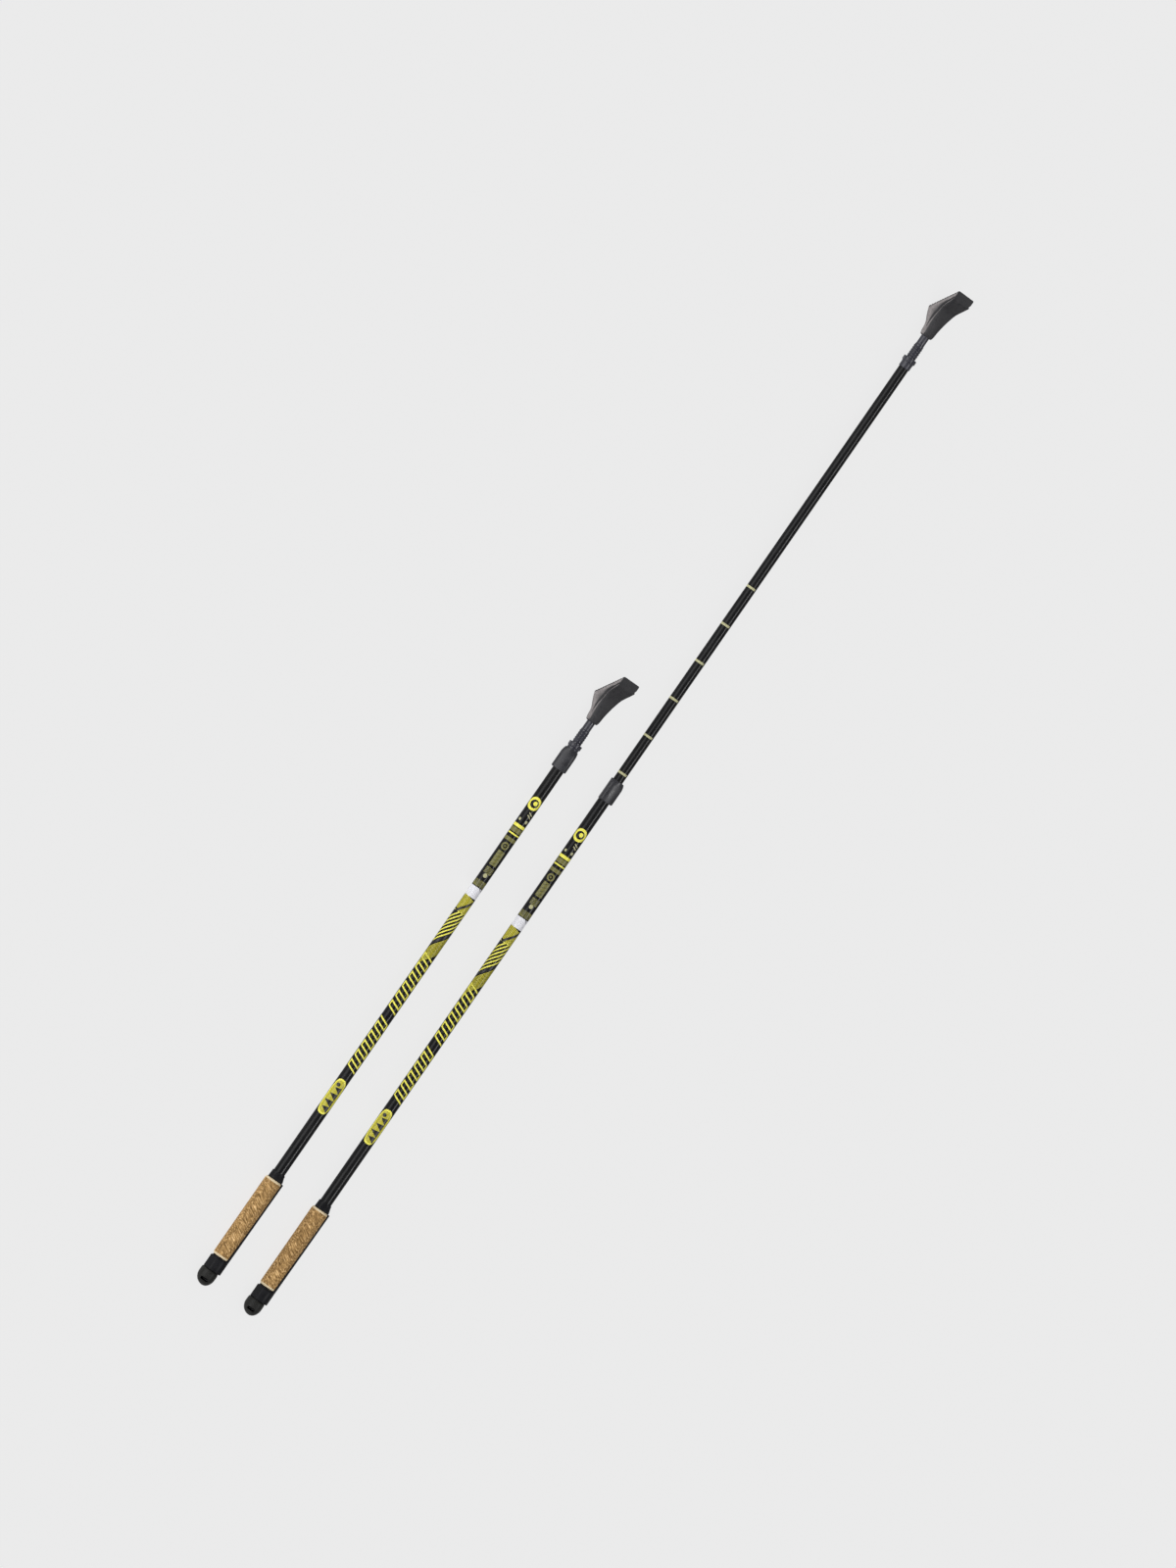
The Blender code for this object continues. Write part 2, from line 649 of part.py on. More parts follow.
LOWER_PIECES = (
    "lower_tube",
    "lock_plug",
    "lock_stud",
    "lock_expander",
    "lock_cone",
    "lock_nut",
    "tip_ferrule",
    "carbide_tip",
    "paw_washer",
    "rubber_paw",
)


def empty(name, parent=None, location=(0, 0, 0), turn=0.0):
    """A frame for the pieces of one body, on the pole's axis."""
    holder = bpy.data.objects.new(name, None)
    bpy.context.scene.collection.objects.link(holder)
    holder.parent = parent
    holder.location = location
    holder.rotation_euler = (0, turn, 0)
    return holder


def place(name, mesh, parent, location=(0, 0, 0), turn=0.0):
    piece = bpy.data.objects.new(name, mesh)
    bpy.context.scene.collection.objects.link(piece)
    piece.parent = parent
    piece.location = location
    piece.rotation_euler = (0, turn, 0)
    return piece


def cut(piece, cutter):
    cutter.hide_render = True
    cutter.display_type = "WIRE"
    modifier = piece.modifiers.new(cutter.name, "BOOLEAN")
    modifier.operation = "DIFFERENCE"
    modifier.solver = "EXACT"
    modifier.object = cutter


def build_pole(side, x, pulled_out, meshes, cutters):
    """One pole: its upper pieces on their own frame, and its lower ones on a frame that slides."""
    height = max(-PAW_HEEL[1], turned_oval_depth(CAP_OVAL))  # each pole rests on heel and cap
    upper = empty(f"{side}_pole_axis", None, (x, -OVERALL_LENGTH / 2, height))
    grip = empty(f"{side}_grip_axis", upper, turn=GRIP_TURN)
    cap = place(f"{side}_grip_cap", meshes["grip_cap"], grip)
    for mesh, location in cutters:
        cut(cap, place(f"{side}_{mesh.name}_cutter", mesh, grip, location))
    pin_middle = (STRAP_PIN_SHIFT, STRAP_SLOT_STATION, 0)
    place(f"{side}_strap_pin", meshes["strap_pin"], grip, pin_middle)
    for piece in ("grip_body", "cork_wrap"):
        place(f"{side}_{piece}", meshes[piece], grip)
    place(f"{side}_upper_tube", meshes["upper_tube"], upper)
    place(f"{side}_lock_collar", meshes["lock_collar"], upper, turn=-COLLAR_TURNS[side])
    lower = empty(f"{side}_lower_axis", upper, (0, UPPER_REACH + pulled_out, 0))
    for piece in LOWER_PIECES:
        place(f"{side}_{piece}", meshes[piece], lower)


def build():
    clear_scene()
    meshes = {
        "grip_cap": grip_cap_mesh(),
        "strap_pin": strap_pin_mesh(),
        "grip_body": grip_body_mesh(),
        "cork_wrap": cork_wrap_mesh(),
        "upper_tube": upper_tube_mesh(),
        "lock_collar": lock_collar_mesh(),
        "lower_tube": lower_tube_mesh(),
        "lock_plug": lock_plug_mesh(),
        "lock_stud": lock_stud_mesh(),
        "lock_expander": lock_expander_mesh(),
        "lock_cone": lock_cone_mesh(),
        "lock_nut": lock_nut_mesh(),
        "tip_ferrule": tip_ferrule_mesh(),
        "carbide_tip": carbide_tip_mesh(),
        "paw_washer": paw_washer_mesh(),
        "rubber_paw": rubber_paw_mesh(),
    }
    cutters = strap_cutters()
    pushed_in = GAP - MOUTH_DEPTH
    build_pole("right", POLE_SPACING / 2, RIGHT_PULLED_OUT, meshes, cutters)
    build_pole("left", -POLE_SPACING / 2, pushed_in, meshes, cutters)


build()
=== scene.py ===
import json
import math

import bmesh
import bpy
from mathutils import Matrix, Vector, noise


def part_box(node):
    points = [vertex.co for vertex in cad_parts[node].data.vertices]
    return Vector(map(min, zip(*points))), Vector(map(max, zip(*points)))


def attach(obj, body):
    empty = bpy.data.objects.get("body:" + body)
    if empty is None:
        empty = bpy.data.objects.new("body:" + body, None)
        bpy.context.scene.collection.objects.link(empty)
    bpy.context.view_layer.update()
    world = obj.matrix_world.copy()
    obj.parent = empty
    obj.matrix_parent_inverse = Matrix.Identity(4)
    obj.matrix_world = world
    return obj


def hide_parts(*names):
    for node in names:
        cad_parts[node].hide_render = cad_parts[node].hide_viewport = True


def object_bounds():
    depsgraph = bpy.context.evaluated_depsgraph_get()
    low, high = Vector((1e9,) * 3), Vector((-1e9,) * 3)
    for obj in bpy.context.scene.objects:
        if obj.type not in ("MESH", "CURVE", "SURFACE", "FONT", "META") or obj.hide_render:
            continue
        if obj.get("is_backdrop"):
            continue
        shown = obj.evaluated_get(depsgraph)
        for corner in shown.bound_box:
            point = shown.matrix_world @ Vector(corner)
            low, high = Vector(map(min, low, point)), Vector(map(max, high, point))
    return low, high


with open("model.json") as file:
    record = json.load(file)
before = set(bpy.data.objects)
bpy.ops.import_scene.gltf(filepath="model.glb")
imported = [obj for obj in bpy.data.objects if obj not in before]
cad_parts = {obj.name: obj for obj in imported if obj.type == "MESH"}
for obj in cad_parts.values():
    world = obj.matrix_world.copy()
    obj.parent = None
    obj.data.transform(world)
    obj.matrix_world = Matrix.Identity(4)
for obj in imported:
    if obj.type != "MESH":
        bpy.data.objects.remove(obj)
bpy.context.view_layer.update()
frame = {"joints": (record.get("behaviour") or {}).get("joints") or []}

# Upper tubes. Two adjustable walking poles lie side by side, and each piece is made for both in
# turn. A pole's upper tube is drawn aluminium, 14 mm across and 0.7 mm thick, lacquered black. Its
# top end is glued into the grip's body, and the lock collar is pressed on its other end.

SIDES = ("right", "left")
MM = 0.001
JOINTS = {joint["name"]: joint for joint in frame["joints"]}
AXIS = {side: Vector(JOINTS[f"{side}_twist"]["pos_m"]) for side in SIDES}
FACING = math.radians(125.3)  # the way the grips' slots and the print face, from +X towards +Z
TUBE_FACETS = 96
TUBE_WALL = 0.7 * MM
TUBE_EDGE = 0.15 * MM  # bevel of a tube's cut end


def ends_and_radius(node):
    """A turned node's two ends along the pole, and its outer radius."""
    low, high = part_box(node)
    return low.y, high.y, (high.x - low.x) / 2


UPPER_RADIUS = ends_and_radius("right_upper_tube")[2]


def ring(side, y, radius_at, facets=TUBE_FACETS, turn=0.0):
    """Points round a pole's axis. radius_at is a number, or follows the angle from the turn."""
    points = []
    for index in range(facets):
        angle = 2 * math.pi * index / facets
        radius = radius_at(angle) if callable(radius_at) else radius_at
        x = AXIS[side].x + radius * math.cos(angle + turn)
        z = AXIS[side].z + radius * math.sin(angle + turn)
        points.append(Vector((x, y, z)))
    return points


def skin(name, rings, joined=False, sharp=40):
    """A closed mesh over rings of points, with caps, or with its last ring joined to its first."""
    shape = bmesh.new()
    loops = [[shape.verts.new(point) for point in points] for points in rings]
    pairs = list(zip(loops, loops[1:]))
    if joined:
        pairs.append((loops[-1], loops[0]))
    for near, far in pairs:
        for i in range(len(near)):
            j = (i + 1) % len(near)
            shape.faces.new((near[i], near[j], far[j], far[i]))
    if not joined:
        shape.faces.new(loops[0])
        shape.faces.new(loops[-1])
    return smoothed(name, shape, sharp)


def smoothed(name, shape, sharp=40):
    """A mesh from a bmesh: faces turned outwards, smooth but for edges over the sharp angle."""
    bmesh.ops.recalc_face_normals(shape, faces=shape.faces)
    mesh = bpy.data.meshes.new(name)
    shape.to_mesh(mesh)
    shape.free()
    mesh.shade_smooth()
    mesh.set_sharp_from_angle(angle=math.radians(sharp))
    return mesh


def fit(name, mesh, material, body, slot, *stands_for):
    """Puts a finished mesh on its body, with its finish and the nodes that it stands for."""
    piece = bpy.data.objects.new(name, mesh)
    bpy.context.scene.collection.objects.link(piece)
    mesh.materials.clear()
    mesh.materials.append(material)
    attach(piece, body)
    if stands_for:
        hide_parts(*stands_for)
    return piece


def new_finish(name, roughness, metallic=0.0, specular=0.5):
    """A material, its nodes and links, its shader, and the piece's own coordinates."""
    material = bpy.data.materials.new(name)
    material.use_nodes = True
    nodes = material.node_tree.nodes
    shader = nodes["Principled BSDF"]
    shader.inputs["Roughness"].default_value = roughness
    shader.inputs["Metallic"].default_value = metallic
    shader.inputs["Specular IOR Level"].default_value = specular
    at = nodes.new("ShaderNodeTexCoord").outputs["Object"]
    return material, nodes, material.node_tree.links, shader, at


def cloud(nodes, links, at, scale, detail=3.0):
    """Soft noise in patches 1 / scale metres across."""
    node = nodes.new("ShaderNodeTexNoise")
    node.inputs["Scale"].default_value = scale
    node.inputs["Detail"].default_value = detail
    links.new(at, node.inputs["Vector"])
    return node.outputs[0]


def between(nodes, links, value, low, high, start=0.3, end=0.7):
    """A colour that goes from low to high as a value goes from start to end."""
    ramp = nodes.new("ShaderNodeValToRGB")
    ramp.color_ramp.elements[0].position = start
    ramp.color_ramp.elements[0].color = (*low, 1)
    ramp.color_ramp.elements[1].position = end
    ramp.color_ramp.elements[1].color = (*high, 1)
    links.new(value, ramp.inputs["Fac"])
    return ramp.outputs["Color"]


def rescaled(nodes, links, value, low, high):
    """A noise value stretched between two others."""
    span = nodes.new("ShaderNodeMapRange")
    span.inputs["From Min"].default_value = 0.3
    span.inputs["From Max"].default_value = 0.7
    span.inputs["To Min"].default_value = low
    span.inputs["To Max"].default_value = high
    links.new(value, span.inputs["Value"])
    return span.outputs["Result"]


def relief(nodes, links, shader, height_value, height, strength=1.0):
    """A bump, height metres deep, from a value."""
    bump = nodes.new("ShaderNodeBump")
    bump.inputs["Distance"].default_value = height
    bump.inputs["Strength"].default_value = strength
    links.new(height_value, bump.inputs["Height"])
    links.new(bump.outputs["Normal"], shader.inputs["Normal"])


def black_lacquer(name, low, high):
    """Black lacquer: faint cloudiness, handling haze in the gloss and a slight orange peel."""
    material, nodes, links, shader, at = new_finish(name, 0.26, specular=0.09)
    haze = cloud(nodes, links, at, 60)
    links.new(between(nodes, links, haze, low, high), shader.inputs["Base Color"])
    links.new(rescaled(nodes, links, haze, 0.22, 0.30), shader.inputs["Roughness"])
    relief(nodes, links, shader, cloud(nodes, links, at, 700, 2.0), 0.00001)
    return material


def tube(side, name, node):
    """A tube with softened ends, on the axis and between the ends of its node."""
    low, high, radius = ends_and_radius(node)
    inner = radius - TUBE_WALL
    edge = TUBE_EDGE
    profile = (
        (low, inner + edge), (low, radius - edge), (low + edge, radius),
        (high - edge, radius), (high, radius - edge), (high, inner + edge),
        (high - edge, inner), (low + edge, inner),
    )
    return skin(name, [ring(side, y, r) for y, r in profile], joined=True)


upper_lacquer = black_lacquer("upper tube lacquer", (0.005, 0.005, 0.0055), (0.009, 0.009, 0.0095))
for side in SIDES:
    node = f"{side}_upper_tube"
    mesh = tube(side, "upper_shaft", node)
    fit(f"{side}_upper_shaft", mesh, upper_lacquer, f"{side}_upper", "black_lacquer", node)


# Printed pattern. Inks are screen printed on the upper tube, front and back, from the badge near
# the grip to the round mark near the collar. Every colour is a film 0.04 mm thick, wrapped on the
# tube. A node tree wraps what comes in rows: slanted strokes, hatching, bars and bands.

FILM = 0.04 * MM
FILM_SINK = 0.01 * MM
FLOAT, WHOLE, FINISH = "NodeSocketFloat", "NodeSocketInt", "NodeSocketMaterial"


def named_tree(name, sockets):
    """A Geometry Nodes tree with one geometry output and named inputs, and its two end nodes."""
    tree = bpy.data.node_groups.new(name, "GeometryNodeTree")
    tree.interface.new_socket("Geometry", in_out="OUTPUT", socket_type="NodeSocketGeometry")
    for label, kind in sockets:
        tree.interface.new_socket(label, in_out="INPUT", socket_type=kind)
    given = tree.nodes.new("NodeGroupInput").outputs
    result = tree.nodes.new("NodeGroupOutput").inputs[0]
    return tree, given, result


def calculate(tree, operation, *terms):
    """A Math node on sockets or numbers."""
    node = tree.nodes.new("ShaderNodeMath")
    node.operation = operation
    for place, term in zip(node.inputs, terms):
        if isinstance(term, (int, float)):
            place.default_value = term
        else:
            tree.links.new(term, place)
    return node.outputs[0]


def position_parts(tree):
    """The position's X, Y and Z."""
    where = tree.nodes.new("GeometryNodeInputPosition")
    parts = tree.nodes.new("ShaderNodeSeparateXYZ")
    tree.links.new(where.outputs[0], parts.inputs[0])
    return parts.outputs


def round_the_axis(tree, geometry, angle, along, radius):
    """Geometry moved to places given by an angle round the Y axis, a station and a radius."""
    place = tree.nodes.new("ShaderNodeCombineXYZ")
    x = calculate(tree, "MULTIPLY", calculate(tree, "COSINE", angle), radius)
    z = calculate(tree, "MULTIPLY", calculate(tree, "SINE", angle), radius)
    for value, socket in zip((x, along, z), place.inputs):
        tree.links.new(value, socket)
    move = tree.nodes.new("GeometryNodeSetPosition")
    tree.links.new(geometry, move.inputs["Geometry"])
    tree.links.new(place.outputs[0], move.inputs["Position"])
    return move.outputs[0]


def closed_and_finished(tree, parts, result, material):
    """Joins parts, merges the points they share, and ends the tree."""
    join = tree.nodes.new("GeometryNodeJoinGeometry")
    for part in parts:
        tree.links.new(part, join.inputs[0])
    whole = tree.nodes.new("GeometryNodeRealizeInstances")
    tree.links.new(join.outputs[0], whole.inputs[0])
    merge = tree.nodes.new("GeometryNodeMergeByDistance")
    merge.inputs["Distance"].default_value = 2e-7
    tree.links.new(whole.outputs[0], merge.inputs["Geometry"])
    last = tree.nodes.new("GeometryNodeSetMaterial")
    tree.links.new(merge.outputs[0], last.inputs["Geometry"])
    tree.links.new(material, last.inputs["Material"])
    tree.links.new(last.outputs[0], result)


def grown(tree, blank=None, **values):
    """The plain mesh that a node tree makes from values for its named inputs, and from a blank."""
    holder = bpy.data.objects.new("holder", blank or bpy.data.meshes.new("holder"))
    bpy.context.scene.collection.objects.link(holder)
    modifier = holder.modifiers.new("nodes", "NODES")
    modifier.node_group = tree
    for socket in tree.interface.items_tree:
        if socket.in_out == "INPUT" and socket.socket_type != "NodeSocketGeometry":
            modifier[socket.identifier] = values[socket.name]
    bpy.context.view_layer.update()
    evaluated = holder.evaluated_get(bpy.context.evaluated_depsgraph_get())
    mesh = bpy.data.meshes.new_from_object(evaluated)
    bpy.data.objects.remove(holder)
    return mesh


def wrapped_bars_tree():
    """A row of bars along a tube, wrapped on it. Slant is how far a bar leans for each radian."""
    tree, given, result = named_tree("wrapped bars", (
        ("Count", WHOLE), ("Pitch", FLOAT), ("Start", FLOAT), ("Length", FLOAT), ("Reach", FLOAT),
        ("Middle", FLOAT), ("Slant", FLOAT), ("Radius", FLOAT), ("Film", FLOAT),
        ("Facets", WHOLE), ("Ink", FINISH),
    ))
    link = tree.links.new
    bar = tree.nodes.new("GeometryNodeMeshGrid")
    link(given["Reach"], bar.inputs["Size X"])
    link(given["Length"], bar.inputs["Size Y"])
    link(given["Facets"], bar.inputs["Vertices X"])
    bar.inputs["Vertices Y"].default_value = 2
    row = tree.nodes.new("GeometryNodeMeshLine")
    start = tree.nodes.new("ShaderNodeCombineXYZ")
    step = tree.nodes.new("ShaderNodeCombineXYZ")
    link(given["Start"], start.inputs["Y"])
    link(given["Pitch"], step.inputs["Y"])
    link(given["Count"], row.inputs["Count"])
    link(start.outputs[0], row.inputs["Start Location"])
    link(step.outputs[0], row.inputs["Offset"])
    copies = tree.nodes.new("GeometryNodeInstanceOnPoints")
    link(row.outputs[0], copies.inputs["Points"])
    link(bar.outputs[0], copies.inputs["Instance"])
    flat = tree.nodes.new("GeometryNodeRealizeInstances")
    link(copies.outputs[0], flat.inputs[0])
    turn, y = position_parts(tree)[:2]
    angle = calculate(tree, "SUBTRACT", given["Middle"], turn)
    along = calculate(tree, "MULTIPLY_ADD", turn, given["Slant"], y)
    wrapped = round_the_axis(tree, flat.outputs[0], angle, along, given["Radius"])
    thick = tree.nodes.new("GeometryNodeExtrudeMesh")
    thick.inputs["Individual"].default_value = False
    link(wrapped, thick.inputs["Mesh"])
    link(given["Film"], thick.inputs["Offset Scale"])
    under = tree.nodes.new("GeometryNodeFlipFaces")
    link(wrapped, under.inputs["Mesh"])
    closed_and_finished(tree, (thick.outputs["Mesh"], under.outputs[0]), result, given["Ink"])
    return tree


bars_tree = wrapped_bars_tree()
FILM_FACET = math.radians(4)


def bars(ink, start, length, count=1, pitch=0.0, half=8.6, turn=0.0, slant=0.0, layer=0, face=0.0,
         radius=UPPER_RADIUS):
    """Films for bars, in mm along the tube and each way round it from the facing line."""
    reach = 2 * half * MM / radius
    return grown(
        bars_tree, Count=count, Pitch=pitch * MM, Start=(start + length / 2) * MM,
        Length=length * MM, Reach=reach, Middle=FACING + face - turn * MM / radius,
        Slant=slant * radius, Radius=radius - FILM_SINK + layer * FILM, Film=FILM,
        Facets=2 + round(reach / FILM_FACET), Ink=ink,
    )


FILM_SLICE = 0.8  # mm round the tube between the cuts that let a film bend


def wrapped_outline(outline, layer=0, face=0.0):
    """A film from an outline, its points in mm along the tube and round it from the facing line."""
    flat = bmesh.new()
    loop = [flat.verts.new((along, across, 0)) for along, across in outline]
    flat.faces.new(loop)
    reach = int(max(abs(across) for along, across in outline) / FILM_SLICE) + 1
    for step in range(-reach, reach + 1):
        bmesh.ops.bisect_plane(
            flat, geom=flat.verts[:] + flat.edges[:] + flat.faces[:], dist=1e-5,
            plane_co=(0, step * FILM_SLICE, 0), plane_no=(0, 1, 0),
        )
    solid = bmesh.new()
    levels = []
    for lift in (layer * FILM, (layer + 1) * FILM):
        r = UPPER_RADIUS - FILM_SINK + lift
        made = {}
        for vert in flat.verts:
            angle = FACING + face - vert.co.y * MM / UPPER_RADIUS
            place = (r * math.cos(angle), vert.co.x * MM, r * math.sin(angle))
            made[vert] = solid.verts.new(place)
        levels.append(made)
    under, over = levels
    for facet in flat.faces:
        solid.faces.new([over[v] for v in facet.verts])
        solid.faces.new([under[v] for v in reversed(facet.verts)])
    for edge in flat.edges:
        if edge.is_boundary:
            a, b = edge.verts
            solid.faces.new((under[a], under[b], over[b], over[a]))
    flat.free()
    return smoothed("film", solid)


def oval_outline(along, across, half_length, half_width, points=36, power=2.0):
    """Points round an ellipse, or a squarer oval where the power is higher."""
    outline = []
    for index in range(points):
        c, s = math.cos(2 * math.pi * index / points), math.sin(2 * math.pi * index / points)
        x = along + half_length * math.copysign(abs(c) ** (2 / power), c)
        y = across + half_width * math.copysign(abs(s) ** (2 / power), s)
        outline.append((x, y))
    return outline


def half_band_outline(along, across, inner, outer, start):
    """Half of a round band, from an angle in degrees, 0 along the tube."""
    turns = [math.radians(start + 9 * step) for step in range(21)]
    sides = ((outer, turns), (inner, turns[::-1]))
    return [
        (along + r * math.cos(a), across + r * math.sin(a)) for r, angles in sides for a in angles
    ]


def combined(name, meshes, shift=(0, 0, 0)):
    """One mesh from several, moved along."""
    shape = bmesh.new()
    for mesh in meshes:
        shape.from_mesh(mesh)
        bpy.data.meshes.remove(mesh)
    bmesh.ops.translate(shape, verts=shape.verts, vec=shift)
    return smoothed(name, shape)


def ink(name, low, high, roughness=0.42):
    """Printing ink: a slightly uneven colour with the fine grain of a screen print."""
    material, nodes, links, shader, at = new_finish(name, roughness, specular=0.3)
    grain = cloud(nodes, links, at, 1400)
    links.new(between(nodes, links, grain, low, high), shader.inputs["Base Color"])
    gloss = rescaled(nodes, links, grain, roughness - 0.06, roughness + 0.08)
    links.new(gloss, shader.inputs["Roughness"])
    relief(nodes, links, shader, cloud(nodes, links, at, 3000, 2.0), 0.000006)
    return material


yellow_ink = ink("yellow ink", (0.61, 0.57, 0.05), (0.74, 0.70, 0.10))
olive_ink = ink("olive ink", (0.32, 0.29, 0.018), (0.42, 0.38, 0.028))
moss_ink = ink("moss ink", (0.10, 0.095, 0.022), (0.15, 0.14, 0.034))
cream_ink = ink("cream ink", (0.31, 0.30, 0.15), (0.39, 0.38, 0.22))
white_ink = ink("white ink", (0.56, 0.56, 0.59), (0.60, 0.60, 0.63), 0.5)
black_ink = ink("black ink", (0.005, 0.005, 0.0055), (0.009, 0.009, 0.0095))

# Stations of the print, in mm from the grip's end.
BADGE_MIDDLE, BADGE_HALF = 252.5, 22.5
WAVES = ((289.0, 11), (368.0, 12))  # first stroke, strokes
WAVE_PITCH = 6.4
STROKE = 1.9
LEAN = 0.42  # along the tube for each mm round it
WAVE_HALF = 7.6
STRIPES = 468.0
STRIPE_LEAN = 1.25
WHITE_BAND = 520.3
ROUND_MARK = 645.0


def wave(start, strokes, face):
    """One bent line: leaning strokes, joined by short turns at alternate ends."""
    lines = [
        bars(yellow_ink, start, STROKE, strokes, WAVE_PITCH, WAVE_HALF, slant=-LEAN, face=face)
    ]
    for side_of_wave, first in ((-1, 0), (1, 1)):
        turn = side_of_wave * (WAVE_HALF - STROKE / 2)
        count = (strokes - 1 - first + 1) // 2
        begin = start + first * WAVE_PITCH + STROKE / 2 - LEAN * turn
        lines.append(bars(
            yellow_ink, begin, WAVE_PITCH, count, 2 * WAVE_PITCH, STROKE / 2, turn,
            slant=-LEAN, face=face,
        ))
    return lines


def ring_outlines(along, across, inner, outer):
    """A round band in two halves."""
    return [half_band_outline(along, across, inner, outer, start) for start in (0, 180)]


def yellow_films(face):
    """The badge, the two waves, broad stripes, thin bands and the round mark."""
    films = [wrapped_outline(oval_outline(BADGE_MIDDLE, 0, BADGE_HALF, 8.4, power=2.8), face=face)]
    for start, strokes in WAVES:
        films += wave(start, strokes, face)
    films.append(bars(yellow_ink, STRIPES, 2.4, 6, 6.1, slant=STRIPE_LEAN, face=face))
    for start, length in ((499.6, 0.9), (603.6, 1.7), (613.4, 3.6)):
        films.append(bars(yellow_ink, start, length, face=face))
    rounds = ring_outlines(ROUND_MARK, 0, 5.0, 8.0)
    rounds.append(oval_outline(ROUND_MARK + 0.6, 1.0, 2.6, 2.4, 24))
    return films + [wrapped_outline(outline, face=face) for outline in rounds]


def olive_films(face):
    """The badge's field and the hatching on both sides of the stripes."""
    badge = oval_outline(BADGE_MIDDLE, 0, BADGE_HALF - 2.0, 6.6, power=2.8)
    return [
        wrapped_outline(badge, 1, face),
        bars(olive_ink, 437.0, 1.3, 11, 2.1, slant=STRIPE_LEAN, face=face),
        bars(olive_ink, 501.0, 1.5, 10, 1.9, slant=-0.25, face=face),
    ]


def moss_films(face):
    """Dull marks on the dark panel, and the bars beside it."""
    films = [
        bars(moss_ink, WHITE_BAND + 14.2, 7.6, face=face),
        bars(moss_ink, 551.5, 8.0, half=5.0, turn=0.6, face=face),
        bars(moss_ink, 562.5, 19.0, half=4.3, turn=0.2, face=face),
        bars(moss_ink, 595.2, 4.4, half=8.2, face=face),
        bars(moss_ink, 606.8, 5.4, half=8.2, face=face),
    ]
    rounds = ring_outlines(588.3, -0.3, 2.6, 4.6) + [oval_outline(588.3, -0.3, 1.2, 1.2, 16)]
    return films + [wrapped_outline(outline, face=face) for outline in rounds]


def black_films(face):
    """Black over the other inks: two rows of peaks on the badge, stripes and fine hatching."""
    films = []
    for along, height in ((237.5, 9.0), (245.5, 11.0), (254.0, 9.5), (262.0, 8.0)):
        peak = [(along - 4.6, 5.0), (along + 1.4, 5.0 - height), (along + 3.4, 5.0)]
        films.append(wrapped_outline(peak, 2, face))
    return films + [
        wrapped_outline(oval_outline(267.6, -1.6, 2.2, 2.4, 24), 2, face),
        bars(black_ink, STRIPES - 6.2, 4.4, 2, 42.0, slant=STRIPE_LEAN, layer=1, face=face),
        bars(black_ink, WHITE_BAND + 14.9, 0.7, 4, 1.9, slant=-0.6, layer=1, face=face),
        bars(black_ink, 552.6, 0.7, 4, 1.8, half=5.0, turn=0.6, slant=0.3, layer=1, face=face),
        bars(black_ink, 565.0, 0.5, 4, 4.6, half=3.2, turn=0.2, slant=0.5, layer=1, face=face),
    ]


def cream_films(face):
    """Three dots and two short leaning bars near the collar."""
    dots = ((549.0, 0.4, 2.5, 2.3), (622.6, -4.4, 1.7, 1.6), (622.6, 4.6, 1.9, 1.8))
    films = [wrapped_outline(oval_outline(*dot, 24), face=face) for dot in dots]
    films.append(bars(cream_ink, 628.6, 1.4, 2, 3.4, 2.6, 3.6, slant=-0.5, face=face))
    return films


for side in SIDES:
    grip_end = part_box(f"{side}_grip_cap")[0].y
    shift = (AXIS[side].x, grip_end, AXIS[side].z)
    for colour, films_of, material in (
        ("yellow", yellow_films, yellow_ink), ("olive", olive_films, olive_ink),
        ("moss", moss_films, moss_ink), ("black", black_films, black_ink),
        ("cream", cream_films, cream_ink),
    ):
        films = films_of(0.0) + films_of(math.pi)
        name = f"{side}_{colour}_print"
        fit(name, combined(name, films, shift), material, f"{side}_upper", "black_lacquer")
    name = f"{side}_white_band"
    half_round = math.pi * UPPER_RADIUS / MM - 0.01
    band = combined(name, [bars(white_ink, WHITE_BAND, 13.2, half=half_round)], shift)
    fit(name, band, white_ink, f"{side}_upper", "black_lacquer")


# Grip bodies. A body is one black moulding on the upper tube's end: a neck with a flat panel for
# the thumb, a core that carries the cork, a spine that shows along the cork's seam, and a ring
# that tapers to the tube below the cork.

GRIP_TURN = FACING - math.pi / 2  # how far the grips are turned about the pole's axis
GRIP_FACETS = 144
TUBE_BORE = UPPER_RADIUS + 0.3 * MM
EASE = 0.6 * MM
NECK_WALLS = (3.5, 3.8, 4.5, 5.5)  # mm outside the bore: palm side, spine side, front, back
PANEL_ANGLE = math.radians(140)
PANEL_REACH = TUBE_BORE + 3.0 * MM
GROOVE_DEPTH = 1.6 * MM
CORE_RADIUS = TUBE_BORE + 1.3 * MM
CORK_WALLS = (1.7, 1.7, 2.8, 3.6)  # mm outside the core
RING_WALLS = (1.0, 2.6, 1.9, 2.2)
RING_LIP = 0.7 * MM
BORE_DEPTH = 3.0 * MM  # plastic between the cap's seam and the upper tube's end
OVAL_POWER = 2.3  # 2 would be an ellipse


def oval_reach(angle, walls, inside=TUBE_BORE):
    """Distance from the axis to a grip's oval, given as walls in mm outside a round bore."""
    palm, spine, front, back = (inside + wall * MM for wall in walls)
    x, z = math.cos(angle), math.sin(angle)
    half_x = spine if x > 0 else palm
    half_z = front if z > 0 else back
    reach = abs(x / half_x) ** OVAL_POWER + abs(z / half_z) ** OVAL_POWER
    return reach ** (-1 / OVAL_POWER)


def neck_reach(angle):
    """The neck's oval with its flat panel, whose edges are rounded."""
    oval = oval_reach(angle, NECK_WALLS)
    away = math.cos(angle - PANEL_ANGLE)
    if away < 0.5:
        return oval
    return (oval**-60 + (PANEL_REACH / away) ** -60) ** (-1 / 60)


